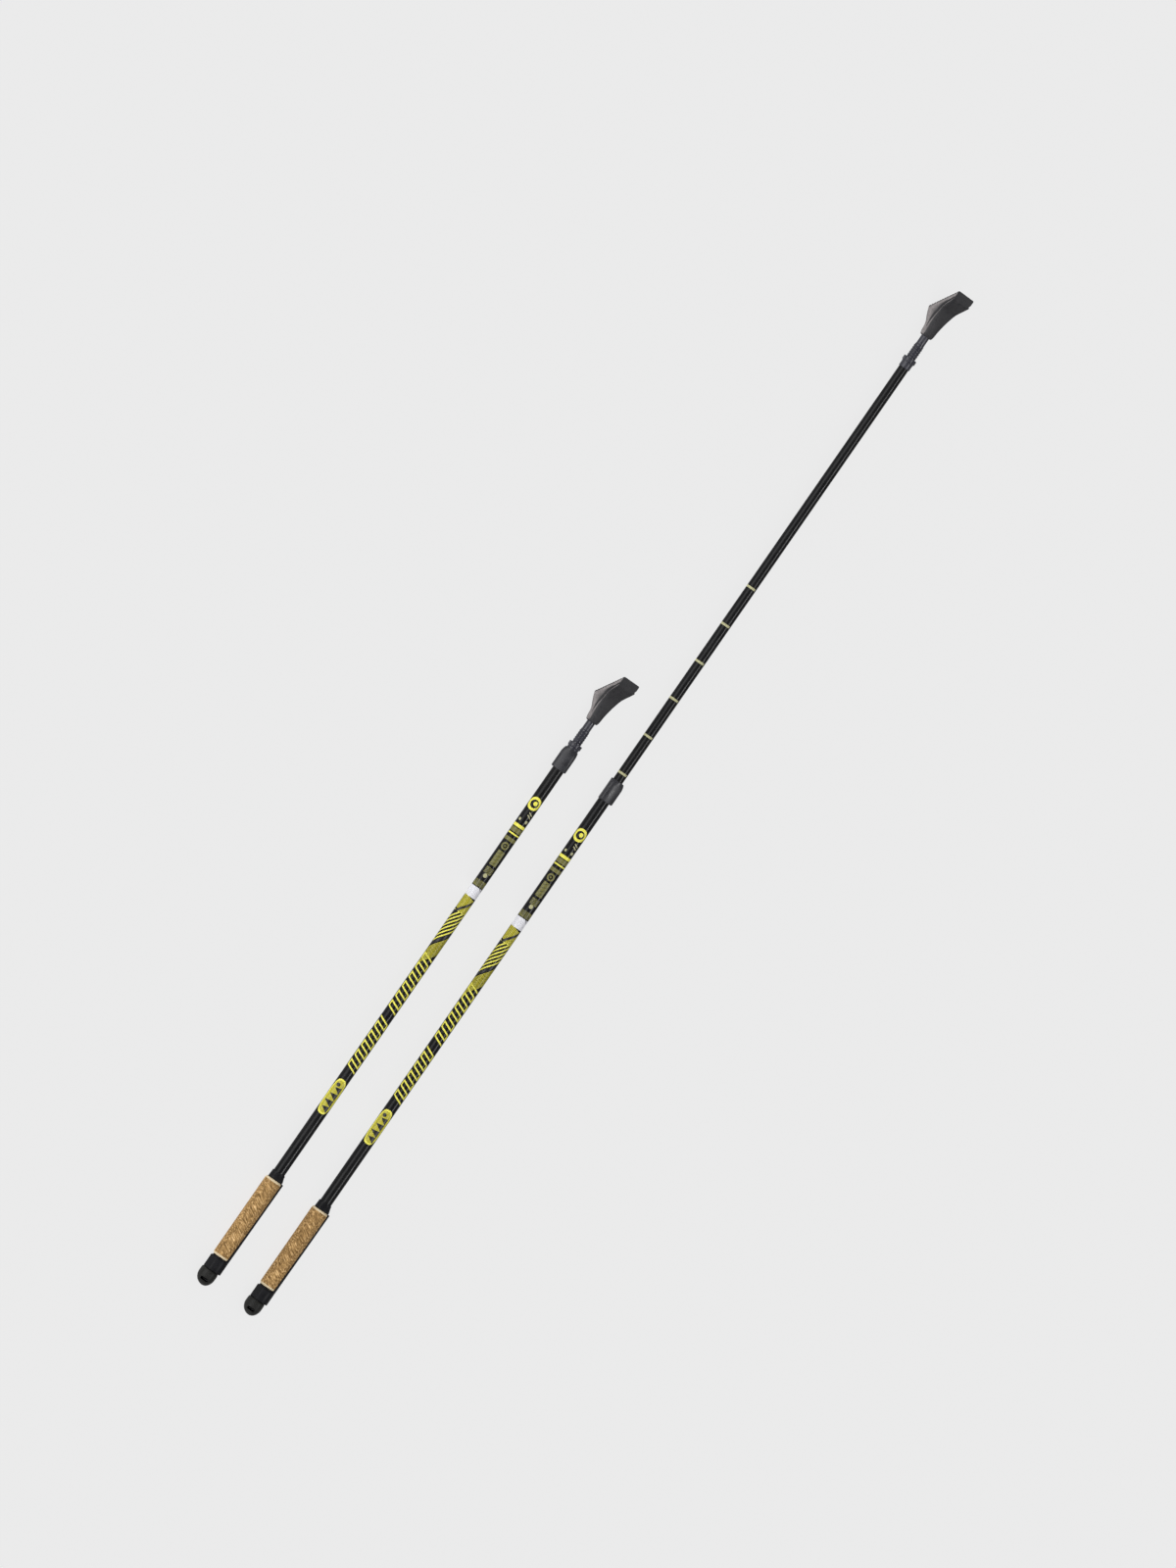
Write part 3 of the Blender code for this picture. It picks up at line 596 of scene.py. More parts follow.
def spine_half_width(share):
    """The spine's half width, from its wide foot at the neck (0) to the ring (1)."""
    return (3.0 + 3.2 * (1 - share) ** 1.3) * MM


def spine_reach(angle, share):
    """The core's circle with the spine on it, at angle 0. The spine's face is the cork's oval, a
    little raised along its middle."""
    off = abs(math.remainder(angle, 2 * math.pi))
    foot = spine_half_width(share) / CORE_RADIUS
    crest = foot * 0.84
    face = oval_reach(angle, CORK_WALLS, CORE_RADIUS)
    if off <= crest:
        return face + (0.8 + 0.8 * share) * MM * (1 - (off / crest) ** 2)
    return face + (CORE_RADIUS - face) * min((off - crest) / (foot - crest), 1.0)


def grip_body(side):
    """Neck, groove, core with its spine, and the tapering ring, from the cap's seam to the tube."""
    body_low, body_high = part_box(f"{side}_grip_body")
    cork_low, cork_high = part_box(f"{side}_cork_wrap")
    groove_start = cork_low.y - 2.2 * MM
    groove = [wall - GROOVE_DEPTH / MM for wall in NECK_WALLS]
    ring_start = cork_high.y + 0.3 * MM
    bore_end = body_low.y + BORE_DEPTH

    def around(y, reach):
        return ring(side, y, reach, GRIP_FACETS, GRIP_TURN)

    def neck(y, inset):
        return around(y, lambda a: neck_reach(a) - inset * EASE)

    def oval(y, walls, inset=0.0):
        return around(y, lambda a: oval_reach(a, walls) - inset * EASE)

    def core(y, share):
        return around(y, lambda a: spine_reach(a, share))

    def grooved(angle):
        """The groove between neck and cork, which the spine crosses."""
        return max(oval_reach(angle, groove), spine_reach(angle, 0.0))

    bevel = ((0.0, 1.0), (0.12, 0.55), (0.4, 0.16), (1.0, 0.0))  # along, inset
    rings = [neck(body_low.y + along * EASE, inset) for along, inset in bevel]
    rings += [neck(groove_start - along * EASE, inset) for along, inset in reversed(bevel)]
    rings += [around(y, grooved) for y in (groove_start + 0.5 * EASE, cork_low.y - 1.5 * EASE)]
    spine_start = cork_low.y - 0.5 * EASE
    for step in range(13):
        rings.append(core(spine_start + (cork_high.y - spine_start) * step / 12, step / 12))
    rings += [oval(ring_start + along * EASE, RING_WALLS, inset) for along, inset in bevel]
    straight = ring_start + 2.5 * EASE
    low_walls = (RING_LIP / MM,) * 4
    for step in range(9):
        share = step / 8
        taper = math.sin(share * math.pi / 2) ** 1.3
        walls = [wall + (low - wall) * taper for wall, low in zip(RING_WALLS, low_walls)]
        rings.append(oval(straight + (body_high.y - straight) * share, walls))
    rings += [around(y, TUBE_BORE) for y in (body_high.y, bore_end)]
    return skin("grip_body", rings, sharp=50)


def moulded_plastic(name, low, high, roughness, grain_depth=0.00002, specular=0.12):
    """Moulded plastic: a fine spark-eroded grain, cloudy gloss and faint handling marks."""
    material, nodes, links, shader, at = new_finish(name, roughness, specular=specular)
    marks = cloud(nodes, links, at, 130)
    links.new(between(nodes, links, marks, low, high), shader.inputs["Base Color"])
    gloss = rescaled(nodes, links, marks, roughness - 0.07, roughness + 0.09)
    links.new(gloss, shader.inputs["Roughness"])
    relief(nodes, links, shader, cloud(nodes, links, at, 2600, 2.0), grain_depth)
    return material


grip_plastic = moulded_plastic(
    "grip plastic", (0.006, 0.006, 0.007), (0.010, 0.010, 0.0115), 0.44, specular=0.08
)
for side in SIDES:
    name = f"{side}_grip_body"
    fit(f"{name}_moulding", grip_body(side), grip_plastic, f"{side}_upper", "grip_plastic", name)


# Cork wraps. Each is a sleeve of agglomerated cork, glued round the core and open along the
# spine. Its granules were sanded flush, which leaves small pits, and both ends are chamfered down
# to paler fresh cork.

CORK_CHAMFER = (2.2 * MM, 1.1 * MM)  # along, in
CORK_GAP = 0.3 * MM  # glue line beside the spine
CORK_PITS = 0.16 * MM
CORK_STEP = 1.0 * MM
CORK_FACETS = (128, 48)  # outside, inside


def cork_ring(side, y, share, inset):
    """A ring open at the spine: an outer arc, roughened, then the inner arc back."""
    arc = []
    inner = CORE_RADIUS + 0.3 * MM
    start = (spine_half_width(share) + CORK_GAP) / CORE_RADIUS
    sweep = 2 * math.pi - 2 * start
    outside, inside = CORK_FACETS
    for index in range(outside + 1):
        angle = start + sweep * index / outside
        radius = oval_reach(angle, CORK_WALLS, CORE_RADIUS) - inset
        c, s = math.cos(angle), math.sin(angle)
        grain = noise.noise(Vector((radius * c, y * 0.7, radius * s)) * 520)
        coarse = noise.noise(Vector((c, y * 60, s)) * 1.7 + Vector((9, 2, 5)))
        pit = max(0.0, grain - 0.12) * 1.4 + 0.18 * abs(coarse)
        arc.append((angle, radius - CORK_PITS * min(pit, 1.0)))
    for index in range(inside + 1):
        arc.append((2 * math.pi - start - sweep * index / inside, inner))
    return [
        Vector((
            AXIS[side].x + radius * math.cos(angle + GRIP_TURN), y,
            AXIS[side].z + radius * math.sin(angle + GRIP_TURN),
        ))
        for angle, radius in arc
    ]


def cork_wrap(side):
    """The sleeve, with a chamfer at each end."""
    low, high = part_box(f"{side}_cork_wrap")
    length, depth = CORK_CHAMFER
    chamfer = ((0.0, 1.0), (0.25, 0.62), (0.6, 0.24), (1.0, 0.0))
    straight = high.y - low.y - 2 * length
    steps = round(straight / CORK_STEP)
    stations = [(along * length, inset * depth) for along, inset in chamfer]
    stations += [(length + straight * step / steps, 0.0) for step in range(1, steps)]
    whole = high.y - low.y
    stations += [(whole - along * length, inset * depth) for along, inset in reversed(chamfer)]
    rings = [cork_ring(side, low.y + y, y / whole, inset) for y, inset in stations]
    return skin("cork", rings, sharp=60)


def mixed(nodes, links, amount, low, high, blend="MIX"):
    """One colour laid over another. The amount is a number or a value."""
    mix = nodes.new("ShaderNodeMix")
    mix.data_type = "RGBA"
    mix.blend_type = blend
    for name, given in (("Factor", amount), ("A", low), ("B", high)):
        if isinstance(given, (float, tuple)):
            mix.inputs[name].default_value = given
        else:
            links.new(given, mix.inputs[name])
    return mix.outputs["Result"]


def step_up(nodes, links, value, start, end):
    """0 below the start, 1 above the end."""
    node = nodes.new("ShaderNodeMapRange")
    node.inputs["From Min"].default_value = start
    node.inputs["From Max"].default_value = end
    links.new(value, node.inputs["Value"])
    return node.outputs["Result"]


def distance_from(nodes, links, vector, axis, middle):
    """How far a point is from a plane across an axis."""
    split = nodes.new("ShaderNodeSeparateXYZ")
    links.new(vector, split.inputs[0])
    offset = nodes.new("ShaderNodeMath")
    offset.operation = "SUBTRACT"
    offset.inputs[1].default_value = middle
    links.new(split.outputs[axis], offset.inputs[0])
    away = nodes.new("ShaderNodeMath")
    away.operation = "ABSOLUTE"
    links.new(offset.outputs[0], away.inputs[0])
    return away.outputs[0]


def granules(nodes, links, at, feature):
    """Cork granules 2.6 mm across."""
    cells = nodes.new("ShaderNodeTexVoronoi")
    cells.feature = feature
    cells.inputs["Scale"].default_value = 380
    links.new(at, cells.inputs["Vector"])
    return cells.outputs


def cork_streaks(nodes, links, at):
    """Long sanding streaks in five browns, which run up and across the grip's front."""
    stretch = nodes.new("ShaderNodeMapping")
    stretch.vector_type = "TEXTURE"
    turn = Vector((0, 1, 0)).rotation_difference(Vector((-0.707, 0.5, -0.5))).to_euler()
    stretch.inputs["Rotation"].default_value = turn
    stretch.inputs["Scale"].default_value = (1.0, 10.0, 1.0)
    links.new(at, stretch.inputs["Vector"])
    ramp = nodes.new("ShaderNodeValToRGB")
    tones = (
        (0.33, (0.115, 0.063, 0.021)), (0.43, (0.21, 0.127, 0.048)), (0.50, (0.30, 0.186, 0.075)),
        (0.58, (0.41, 0.258, 0.108)), (0.68, (0.66, 0.46, 0.24)),
    )
    for position, tone in tones[2:]:
        ramp.color_ramp.elements.new(position)
    for element, (position, tone) in zip(ramp.color_ramp.elements, tones):
        element.position = position
        element.color = (*tone, 1)
    links.new(cloud(nodes, links, stretch.outputs[0], 900, 4.0), ramp.inputs["Fac"])
    return ramp.outputs["Color"]


def cork_finish():
    """Streaks over granules of several browns, dark joints and flecks, and paler chamfers."""
    material, nodes, links, shader, at = new_finish("cork", 0.78, specular=0.15)
    tone = cork_streaks(nodes, links, at)
    separate = nodes.new("ShaderNodeSeparateColor")
    links.new(granules(nodes, links, at, "F1")["Color"], separate.inputs[0])
    flecks = cloud(nodes, links, at, 1700, 4.0)
    joints = granules(nodes, links, at, "DISTANCE_TO_EDGE")["Distance"]
    for amount, value, low, high, start, end in (
        (1.0, separate.outputs[0], (0.84, 0.81, 0.77), (1.14, 1.12, 1.08), 0.0, 1.0),
        (0.6, joints, (0.6, 0.54, 0.46), (1, 1, 1), 0.0, 0.08),
        (0.5, flecks, (0.55, 0.48, 0.4), (1.1, 1.1, 1.08), 0.36, 0.5),
    ):
        shade = between(nodes, links, value, low, high, start, end)
        tone = mixed(nodes, links, amount, tone, shade, "MULTIPLY")
    low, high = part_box("right_cork_wrap")
    away = distance_from(nodes, links, at, "Y", (low.y + high.y) / 2)
    chamfer_start = (high.y - low.y) / 2 - CORK_CHAMFER[0]
    fresh = step_up(nodes, links, away, chamfer_start - 0.5 * MM, chamfer_start + 0.2 * MM)
    tone = mixed(nodes, links, fresh, tone, (0.56, 0.46, 0.30, 1))
    links.new(tone, shader.inputs["Base Color"])
    relief(nodes, links, shader, flecks, 0.00015, 0.6)
    return material


cork = cork_finish()
for side in SIDES:
    node = f"{side}_cork_wrap"
    fit(f"{side}_cork_sleeve", cork_wrap(side), cork, f"{side}_upper", "cork", node)


# Grip caps and strap pins. A cap is a separate black moulding with a rounded end, glued to the
# neck. A steel pin is pressed across it, behind the slot in its front where a hand strap would be
# looped.

CAP_WALLS = (4.4, 1.9, 4.9, 5.5)
CAP_NOSE = 12.0 * MM
CAP_SEAM_EASE = 0.8 * MM
SLOT = (9.0 * MM, 3.4 * MM)  # across the grip, along it
SLOT_STATION = 7.1 * MM
CHAMBER_HALF = 4.5 * MM
CHAMBER_LENGTH = 7.8 * MM
SLOT_RUN = 16.0 * MM  # from the cap's middle plane to beyond its face
PALM_SHIFT = 1.25 * MM  # the oval is wider on its palm side
ROD_FACETS = 48
ROD_EDGE = 0.2 * MM
PIN_RADIUS = 1.25 * MM
PIN_LENGTH = 16.5 * MM
PIN_BORE = 1.55 * MM


def rounded_block(size, radius):
    """A block with rounded edges."""
    shape = bmesh.new()
    bmesh.ops.create_cube(shape, size=1.0)
    bmesh.ops.scale(shape, vec=size, verts=shape.verts)
    bmesh.ops.bevel(
        shape, geom=shape.edges[:], offset=radius, segments=4, profile=0.5, affect="EDGES"
    )
    return smoothed("block", shape)


def cross_rod(radius, length):
    """A rod along X with eased ends."""
    half, eased = length / 2, radius - ROD_EDGE
    turns = [2 * math.pi * i / ROD_FACETS for i in range(ROD_FACETS)]
    profile = ((-half, eased), (ROD_EDGE - half, radius), (half - ROD_EDGE, radius), (half, eased))
    return skin("rod", [
        [Vector((x, r * math.cos(turn), r * math.sin(turn))) for turn in turns] for x, r in profile
    ])


def carved(mesh, cutters):
    """A mesh with cutters taken out of it."""
    piece = bpy.data.objects.new("carving", mesh)
    bpy.context.scene.collection.objects.link(piece)
    tools = []
    for cutter in cutters:
        tool = bpy.data.objects.new("cutter", cutter)
        bpy.context.scene.collection.objects.link(tool)
        modifier = piece.modifiers.new("cut", "BOOLEAN")
        modifier.operation = "DIFFERENCE"
        modifier.solver = "EXACT"
        modifier.object = tool
        tools.append(tool)
    bpy.context.view_layer.update()
    evaluated = piece.evaluated_get(bpy.context.evaluated_depsgraph_get())
    result = bpy.data.meshes.new_from_object(evaluated)
    for used in tools + [piece]:
        bpy.data.objects.remove(used)
    result.shade_smooth()
    result.set_sharp_from_angle(angle=math.radians(40))
    return result


def grip_cap(side):
    """The cap with its slot, the chamber behind it and the pin's bore, and the pin's placing."""
    low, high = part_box(f"{side}_grip_cap")

    def cap_ring(y, share, inset=0.0):
        def at(angle):
            return share * (oval_reach(angle, CAP_WALLS) - inset)

        return ring(side, y, at, GRIP_FACETS, GRIP_TURN)

    rings = []
    for step in range(16):
        turn = math.radians(6 + 84 * step / 15)
        rings.append(cap_ring(low.y + CAP_NOSE * (1 - math.cos(turn)), math.sin(turn)))
    first = rings[0][0].y
    for points in rings:
        for point in points:
            point.y = low.y + (point.y - first) * CAP_NOSE / (low.y + CAP_NOSE - first)
    for back, inset in ((4.0, 0.0), (2.0, 0.12), (0.6, 0.45), (0.15, 0.8), (0.0, 1.3)):
        rings.append(cap_ring(high.y - back * MM, 1.0, inset * CAP_SEAM_EASE))
    slot = rounded_block((SLOT[0], SLOT[1], SLOT_RUN), 0.8 * MM)
    slot.transform(Matrix.Translation((0, 0, SLOT_RUN / 2)))
    chamber = rounded_block((SLOT[0] + 0.6 * MM, CHAMBER_LENGTH, 2 * CHAMBER_HALF), 1.0 * MM)
    bore = cross_rod(PIN_BORE, 42 * MM)
    middle = Vector((AXIS[side].x, low.y + SLOT_STATION, AXIS[side].z))
    turn = Matrix.Translation(middle) @ Matrix.Rotation(-GRIP_TURN, 4, "Y")
    shift = Matrix.Translation((-PALM_SHIFT, 0, 0))
    for cutter in (slot, chamber, bore):
        cutter.transform(turn @ shift)
    return carved(skin("grip_cap", rings), (slot, chamber, bore)), turn @ shift


def steel(name, low, high, roughness):
    """Machined steel: fine turning marks and a little oil haze."""
    material, nodes, links, shader, at = new_finish(name, roughness, 1.0)
    haze = cloud(nodes, links, at, 400)
    links.new(between(nodes, links, haze, low, high), shader.inputs["Base Color"])
    gloss = rescaled(nodes, links, haze, roughness - 0.06, roughness + 0.1)
    links.new(gloss, shader.inputs["Roughness"])
    marks = nodes.new("ShaderNodeTexWave")
    marks.wave_type = "BANDS"
    marks.bands_direction = "Y"
    marks.inputs["Scale"].default_value = 900
    marks.inputs["Distortion"].default_value = 1.5
    links.new(at, marks.inputs["Vector"])
    relief(nodes, links, shader, marks.outputs["Fac"], 0.000008)
    return material


cap_plastic = moulded_plastic("cap plastic", (0.010, 0.010, 0.009), (0.017, 0.017, 0.016), 0.5)
bright_steel = steel("bright steel", (0.50, 0.50, 0.52), (0.64, 0.64, 0.66), 0.3)
# Painted shade: the strap pin's steel is made dark so that it shows no glint, standing in for the
# shade inside the cap's slot.
pin_shade_steel = steel("steel darkened by painted shade", (0.05, 0.05, 0.055), (0.09, 0.09, 0.095), 0.45)
for side in SIDES:
    body = f"{side}_upper"
    mesh, across_the_cap = grip_cap(side)
    fit(f"{side}_cap_moulding", mesh, cap_plastic, body, "grip_plastic", f"{side}_grip_cap")
    pin = cross_rod(PIN_RADIUS, PIN_LENGTH)
    pin.transform(across_the_cap)
    fit(f"{side}_cross_pin", pin, pin_shade_steel, body, "steel", f"{side}_strap_pin")


# Lock collars. A collar is a grey-black moulding pressed on the upper tube's end, with three soft
# lobes for the fingers and a crisp lip at its top. Its taper leads down to the mouth that guides
# the lower tube and takes the ferrule's sleeve when the pole is pushed in.

COLLAR_FACETS = 144
COLLAR_RADIUS = TUBE_BORE + 1.7 * MM
COLLAR_LOBE = 1.1 * MM
COLLAR_NOSE = 8.5 * MM
COLLAR_TURNS = {"right": math.radians(35.3), "left": math.radians(73.0)}
COLLAR_MOUTH = 7.1 * MM
COLLAR_NOSE_EDGE = COLLAR_MOUTH + 0.6 * MM
GUIDE_RADIUS = 6.3 * MM
MOUTH_DEPTH = 5.5 * MM
GUIDE_LAND = 4.0 * MM


def lobed_collar_tree():
    """A turned blank on the Y axis, pushed out into even lobes whose crests are flattened a little.
    The blank's "share" says how far each point goes from its own circle to the full lobes."""
    tree, given, result = named_tree("lobed collar", (
        ("Blank", "NodeSocketGeometry"), ("Plain", FLOAT), ("Mean", FLOAT), ("Lobes", FLOAT),
        ("Height", FLOAT), ("Flattening", FLOAT), ("Turn", FLOAT), ("Plastic", FINISH),
    ))
    x, y, z = position_parts(tree)
    angle = calculate(tree, "ARCTAN2", z, x)
    from_turn = calculate(tree, "SUBTRACT", angle, given["Turn"])
    phase = calculate(tree, "MULTIPLY", from_turn, given["Lobes"])
    ripple = calculate(tree, "COSINE", calculate(tree, "MULTIPLY", phase, 2.0))
    dip = calculate(tree, "MULTIPLY", calculate(tree, "SUBTRACT", 1.0, ripple), given["Flattening"])
    wave = calculate(tree, "SUBTRACT", calculate(tree, "COSINE", phase), dip)
    full = calculate(tree, "MULTIPLY_ADD", wave, given["Height"], given["Mean"])
    share = tree.nodes.new("GeometryNodeInputNamedAttribute")
    share.data_type = "FLOAT"
    share.inputs["Name"].default_value = "share"
    push = calculate(tree, "SUBTRACT", full, given["Plain"])
    distance = calculate(tree, "MULTIPLY_ADD", x, x, calculate(tree, "MULTIPLY", z, z))
    distance = calculate(tree, "SQRT", distance)
    radius = calculate(tree, "MULTIPLY_ADD", push, share.outputs["Attribute"], distance)
    shaped = round_the_axis(tree, given["Blank"], angle, y, radius)
    closed_and_finished(tree, (shaped,), result, given["Plastic"])
    return tree


def collar_blank(side):
    """The collar as plain circles on the Y axis, with the share of the lobes at each point."""
    low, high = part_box(f"{side}_lock_collar")
    edge = COLLAR_NOSE_EDGE
    lip = ((0.0, 0.45), (0.15, 0.62), (0.5, 0.86), (1.2, 1.0))
    profile = [(low.y + along * MM, edge, share) for along, share in lip]
    for step in range(13):
        share = math.cos(math.pi / 2 * step / 12) ** 0.62 if step < 12 else 0.0
        profile.append((high.y - COLLAR_NOSE * (1 - step / 12), edge, share))
    land_end = high.y - MOUTH_DEPTH
    land_start = land_end - GUIDE_LAND
    profile += [(y, radius, 0.0) for y, radius in (
        (high.y, COLLAR_MOUTH + 0.15 * MM), (high.y - 0.3 * MM, COLLAR_MOUTH),
        (land_end, COLLAR_MOUTH), (land_end, GUIDE_RADIUS),
        (land_start, GUIDE_RADIUS), (land_start, TUBE_BORE), (low.y, TUBE_BORE),
    )]
    turn = COLLAR_TURNS[side]
    rings = [ring(side, y, radius, COLLAR_FACETS, turn) for y, radius, share in profile]
    blank = skin("blank", rings, joined=True)
    blank.transform(Matrix.Translation((-AXIS[side].x, 0, -AXIS[side].z)))
    shares = [share for y, radius, share in profile for facet in range(COLLAR_FACETS)]
    blank.attributes.new("share", "FLOAT", "POINT").data.foreach_set("value", shares)
    return blank


def moved(name, mesh, side, y, sharp=40):
    """A mesh made round the Y axis, moved to a pole's axis."""
    shape = bmesh.new()
    shape.from_mesh(mesh)
    bmesh.ops.remove_doubles(shape, verts=shape.verts, dist=0.3e-6)
    bmesh.ops.translate(shape, verts=shape.verts, vec=(AXIS[side].x, y, AXIS[side].z))
    return smoothed(name, shape, sharp)


collar_tree = lobed_collar_tree()
collar_plastic = moulded_plastic(
    "collar plastic", (0.019, 0.019, 0.022), (0.032, 0.032, 0.036), 0.36, specular=0.2
)
for side in SIDES:
    node = f"{side}_lock_collar"
    mesh = grown(
        collar_tree, collar_blank(side), Plain=COLLAR_NOSE_EDGE, Mean=COLLAR_RADIUS, Lobes=3.0,
        Height=COLLAR_LOBE, Flattening=0.10, Turn=COLLAR_TURNS[side], Plastic=collar_plastic,
    )
    mesh.attributes.remove(mesh.attributes["share"])
    mesh = moved("lock_collar", mesh, side, 0.0, sharp=32)
    fit(f"{side}_collar_moulding", mesh, collar_plastic, f"{side}_upper", "lock_plastic", node)


# Inner locks. A white nylon plug in the lower tube's end holds a threaded steel stud. A brass cone
# runs on the stud inside a split red nylon sleeve, and spreads it in the upper tube when the lower
# section is turned. A stop nut ends the cone's travel.

STUD_RADIUS = 2.5 * MM
STUD_PITCH = 0.8 * MM
STUD_THREAD = 0.45 * MM
INNER_CLEARANCE = 0.3 * MM


def threaded_rod_tree():
    """A closed rod along Y with a thread on it, which fades out towards both ends."""
    tree, given, result = named_tree("threaded rod", (
        ("Root", FLOAT), ("Thread", FLOAT), ("Pitch", FLOAT), ("Length", FLOAT), ("Fade", FLOAT),
        ("Facets", WHOLE), ("Rings", WHOLE), ("Metal", FINISH),
    ))
    link = tree.links.new
    sheet = tree.nodes.new("GeometryNodeMeshGrid")
    sheet.inputs["Size X"].default_value = 1.0
    sheet.inputs["Size Y"].default_value = 1.0
    link(calculate(tree, "ADD", given["Facets"], 1), sheet.inputs["Vertices X"])
    link(given["Rings"], sheet.inputs["Vertices Y"])
    x, y = position_parts(tree)[:2]
    along = calculate(tree, "MULTIPLY", y, given["Length"])
    turns = calculate(tree, "ADD", x, calculate(tree, "DIVIDE", along, given["Pitch"]))
    ridge = calculate(tree, "MULTIPLY", calculate(tree, "PINGPONG", turns, 0.5), 2.0)
    to_end = calculate(tree, "SUBTRACT", 0.5, calculate(tree, "ABSOLUTE", y))
    to_end = calculate(tree, "MULTIPLY", to_end, given["Length"])
    from_end = calculate(tree, "DIVIDE", to_end, given["Fade"])
    height = calculate(tree, "MULTIPLY", given["Thread"], calculate(tree, "MINIMUM", from_end, 1.0))
    radius = calculate(tree, "MULTIPLY_ADD", ridge, height, given["Root"])
    angle = calculate(tree, "MULTIPLY", x, -2 * math.pi)
    parts = [round_the_axis(tree, sheet.outputs[0], angle, along, radius)]
    for end in (-0.5, 0.5):
        disc = tree.nodes.new("GeometryNodeMeshCircle")
        disc.fill_type = "NGON"
        link(given["Facets"], disc.inputs["Vertices"])
        link(given["Root"], disc.inputs["Radius"])
        place = tree.nodes.new("GeometryNodeTransform")
        shift = tree.nodes.new("ShaderNodeCombineXYZ")
        link(calculate(tree, "MULTIPLY", given["Length"], end), shift.inputs["Y"])
        link(disc.outputs[0], place.inputs["Geometry"])
        link(shift.outputs[0], place.inputs["Translation"])
        place.inputs["Rotation"].default_value = (math.pi / 2, 0, 0)
        parts.append(place.outputs[0])
    closed_and_finished(tree, parts, result, given["Metal"])
    return tree


rod_tree = threaded_rod_tree()


def lathe(side, name, profile):
    """A turned ring: its profile of (y, radius) pairs goes once round the wall's section."""
    return skin(name, [ring(side, y, radius) for y, radius in profile], True, 35)


def plug(side):
    """A flanged plug with four grooves round it and a bore for the stud."""
    low, high, radius = ends_and_radius(f"{side}_lock_plug")
    flange = 2.0 * MM
    body = radius - TUBE_WALL - INNER_CLEARANCE
    bore = STUD_RADIUS + INNER_CLEARANCE
    ease = 0.25 * MM
    profile = [
        (low, bore + ease), (low, radius - ease), (low + ease, radius), (low + flange, radius),
        (low + flange, body),
    ]
    for groove in range(4):
        start = low + flange + (3.0 + 4.0 * groove) * MM
        for along, depth in ((0.0, 0.0), (0.3, 0.35), (1.2, 0.35), (1.5, 0.0)):
            profile.append((start + along * MM, body - depth * MM))
    profile += [(high - 2 * ease, body), (high, body - 2 * ease), (high, bore), (low + ease, bore)]
    return lathe(side, "plug", profile)


def expander(side):
    """The split sleeve: ribbed outside for grip in the tube, tapered inside."""
    low, high, radius = ends_and_radius(f"{side}_lock_expander")
    wide, narrow = radius - 0.6 * MM, STUD_RADIUS + 0.8 * MM
    half_slot = 0.8 * MM
    rings = []
    steps = 44
    for step in range(steps + 1):
        y = low + (high - low) * step / steps
        inner = wide + (narrow - wide) * step / steps
        ribbed = 4 < step < steps - 4 and step % 4 in (1, 2)
        outer = radius - (0.25 * MM if ribbed or step in (0, steps) else 0.0)
        points = []
        for r, order in ((outer, 1), (inner, -1)):
            start = math.asin(half_slot / r)
            turns = [start + (2 * math.pi - 2 * start) * i / 72 for i in range(73)]
            for angle in turns[::order]:
                x, z = AXIS[side].x + r * math.cos(angle), AXIS[side].z + r * math.sin(angle)
                points.append(Vector((x, y, z)))
        rings.append(points)
    return skin("expander", rings, sharp=35)


def cone(side):
    """A cone with a bore for the stud."""
    low, high, far_radius = ends_and_radius(f"{side}_lock_cone")
    near_radius = far_radius * 0.745
    bore = STUD_RADIUS + 0.12 * MM
    ease = 0.3 * MM
    profile = [
        (low, bore + ease), (low, far_radius - ease), (low + ease, far_radius),
        (high - ease, near_radius), (high, near_radius - ease), (high, bore + ease),
        (high - ease, bore), (low + ease, bore),
    ]
    return lathe(side, "cone", profile)


def nut(side):
    """A hexagon with its corners turned down to a 30 degree chamfer."""
    low, high, _ = ends_and_radius(f"{side}_lock_nut")
    flat = 4.0 * MM
    bore = STUD_RADIUS + INNER_CLEARANCE

    def hexagon(y, crown):
        def at(angle):
            corner = flat / math.cos((angle + math.pi / 6) % (math.pi / 3) - math.pi / 6)
            return min(corner, crown)
        return ring(side, y, at)

    crowns = ((low, 3.9), (low + 0.45 * MM, 4.7), (high - 0.45 * MM, 4.7), (high, 3.9))
    rings = [hexagon(y, crown * MM) for y, crown in crowns]
    rings += [ring(side, y, bore) for y in (high, low)]
    return skin("nut", rings, True, 20)


def tinted_nylon(name, low, high, roughness):
    """Nylon: a slight translucency and cloudy gloss."""
    material = moulded_plastic(name, low, high, roughness, 0.00001, 0.5)
    shader = material.node_tree.nodes["Principled BSDF"]
    shader.inputs["Subsurface Weight"].default_value = 0.15
    shader.inputs["Subsurface Radius"].default_value = (0.002, 0.001, 0.001)
    return material


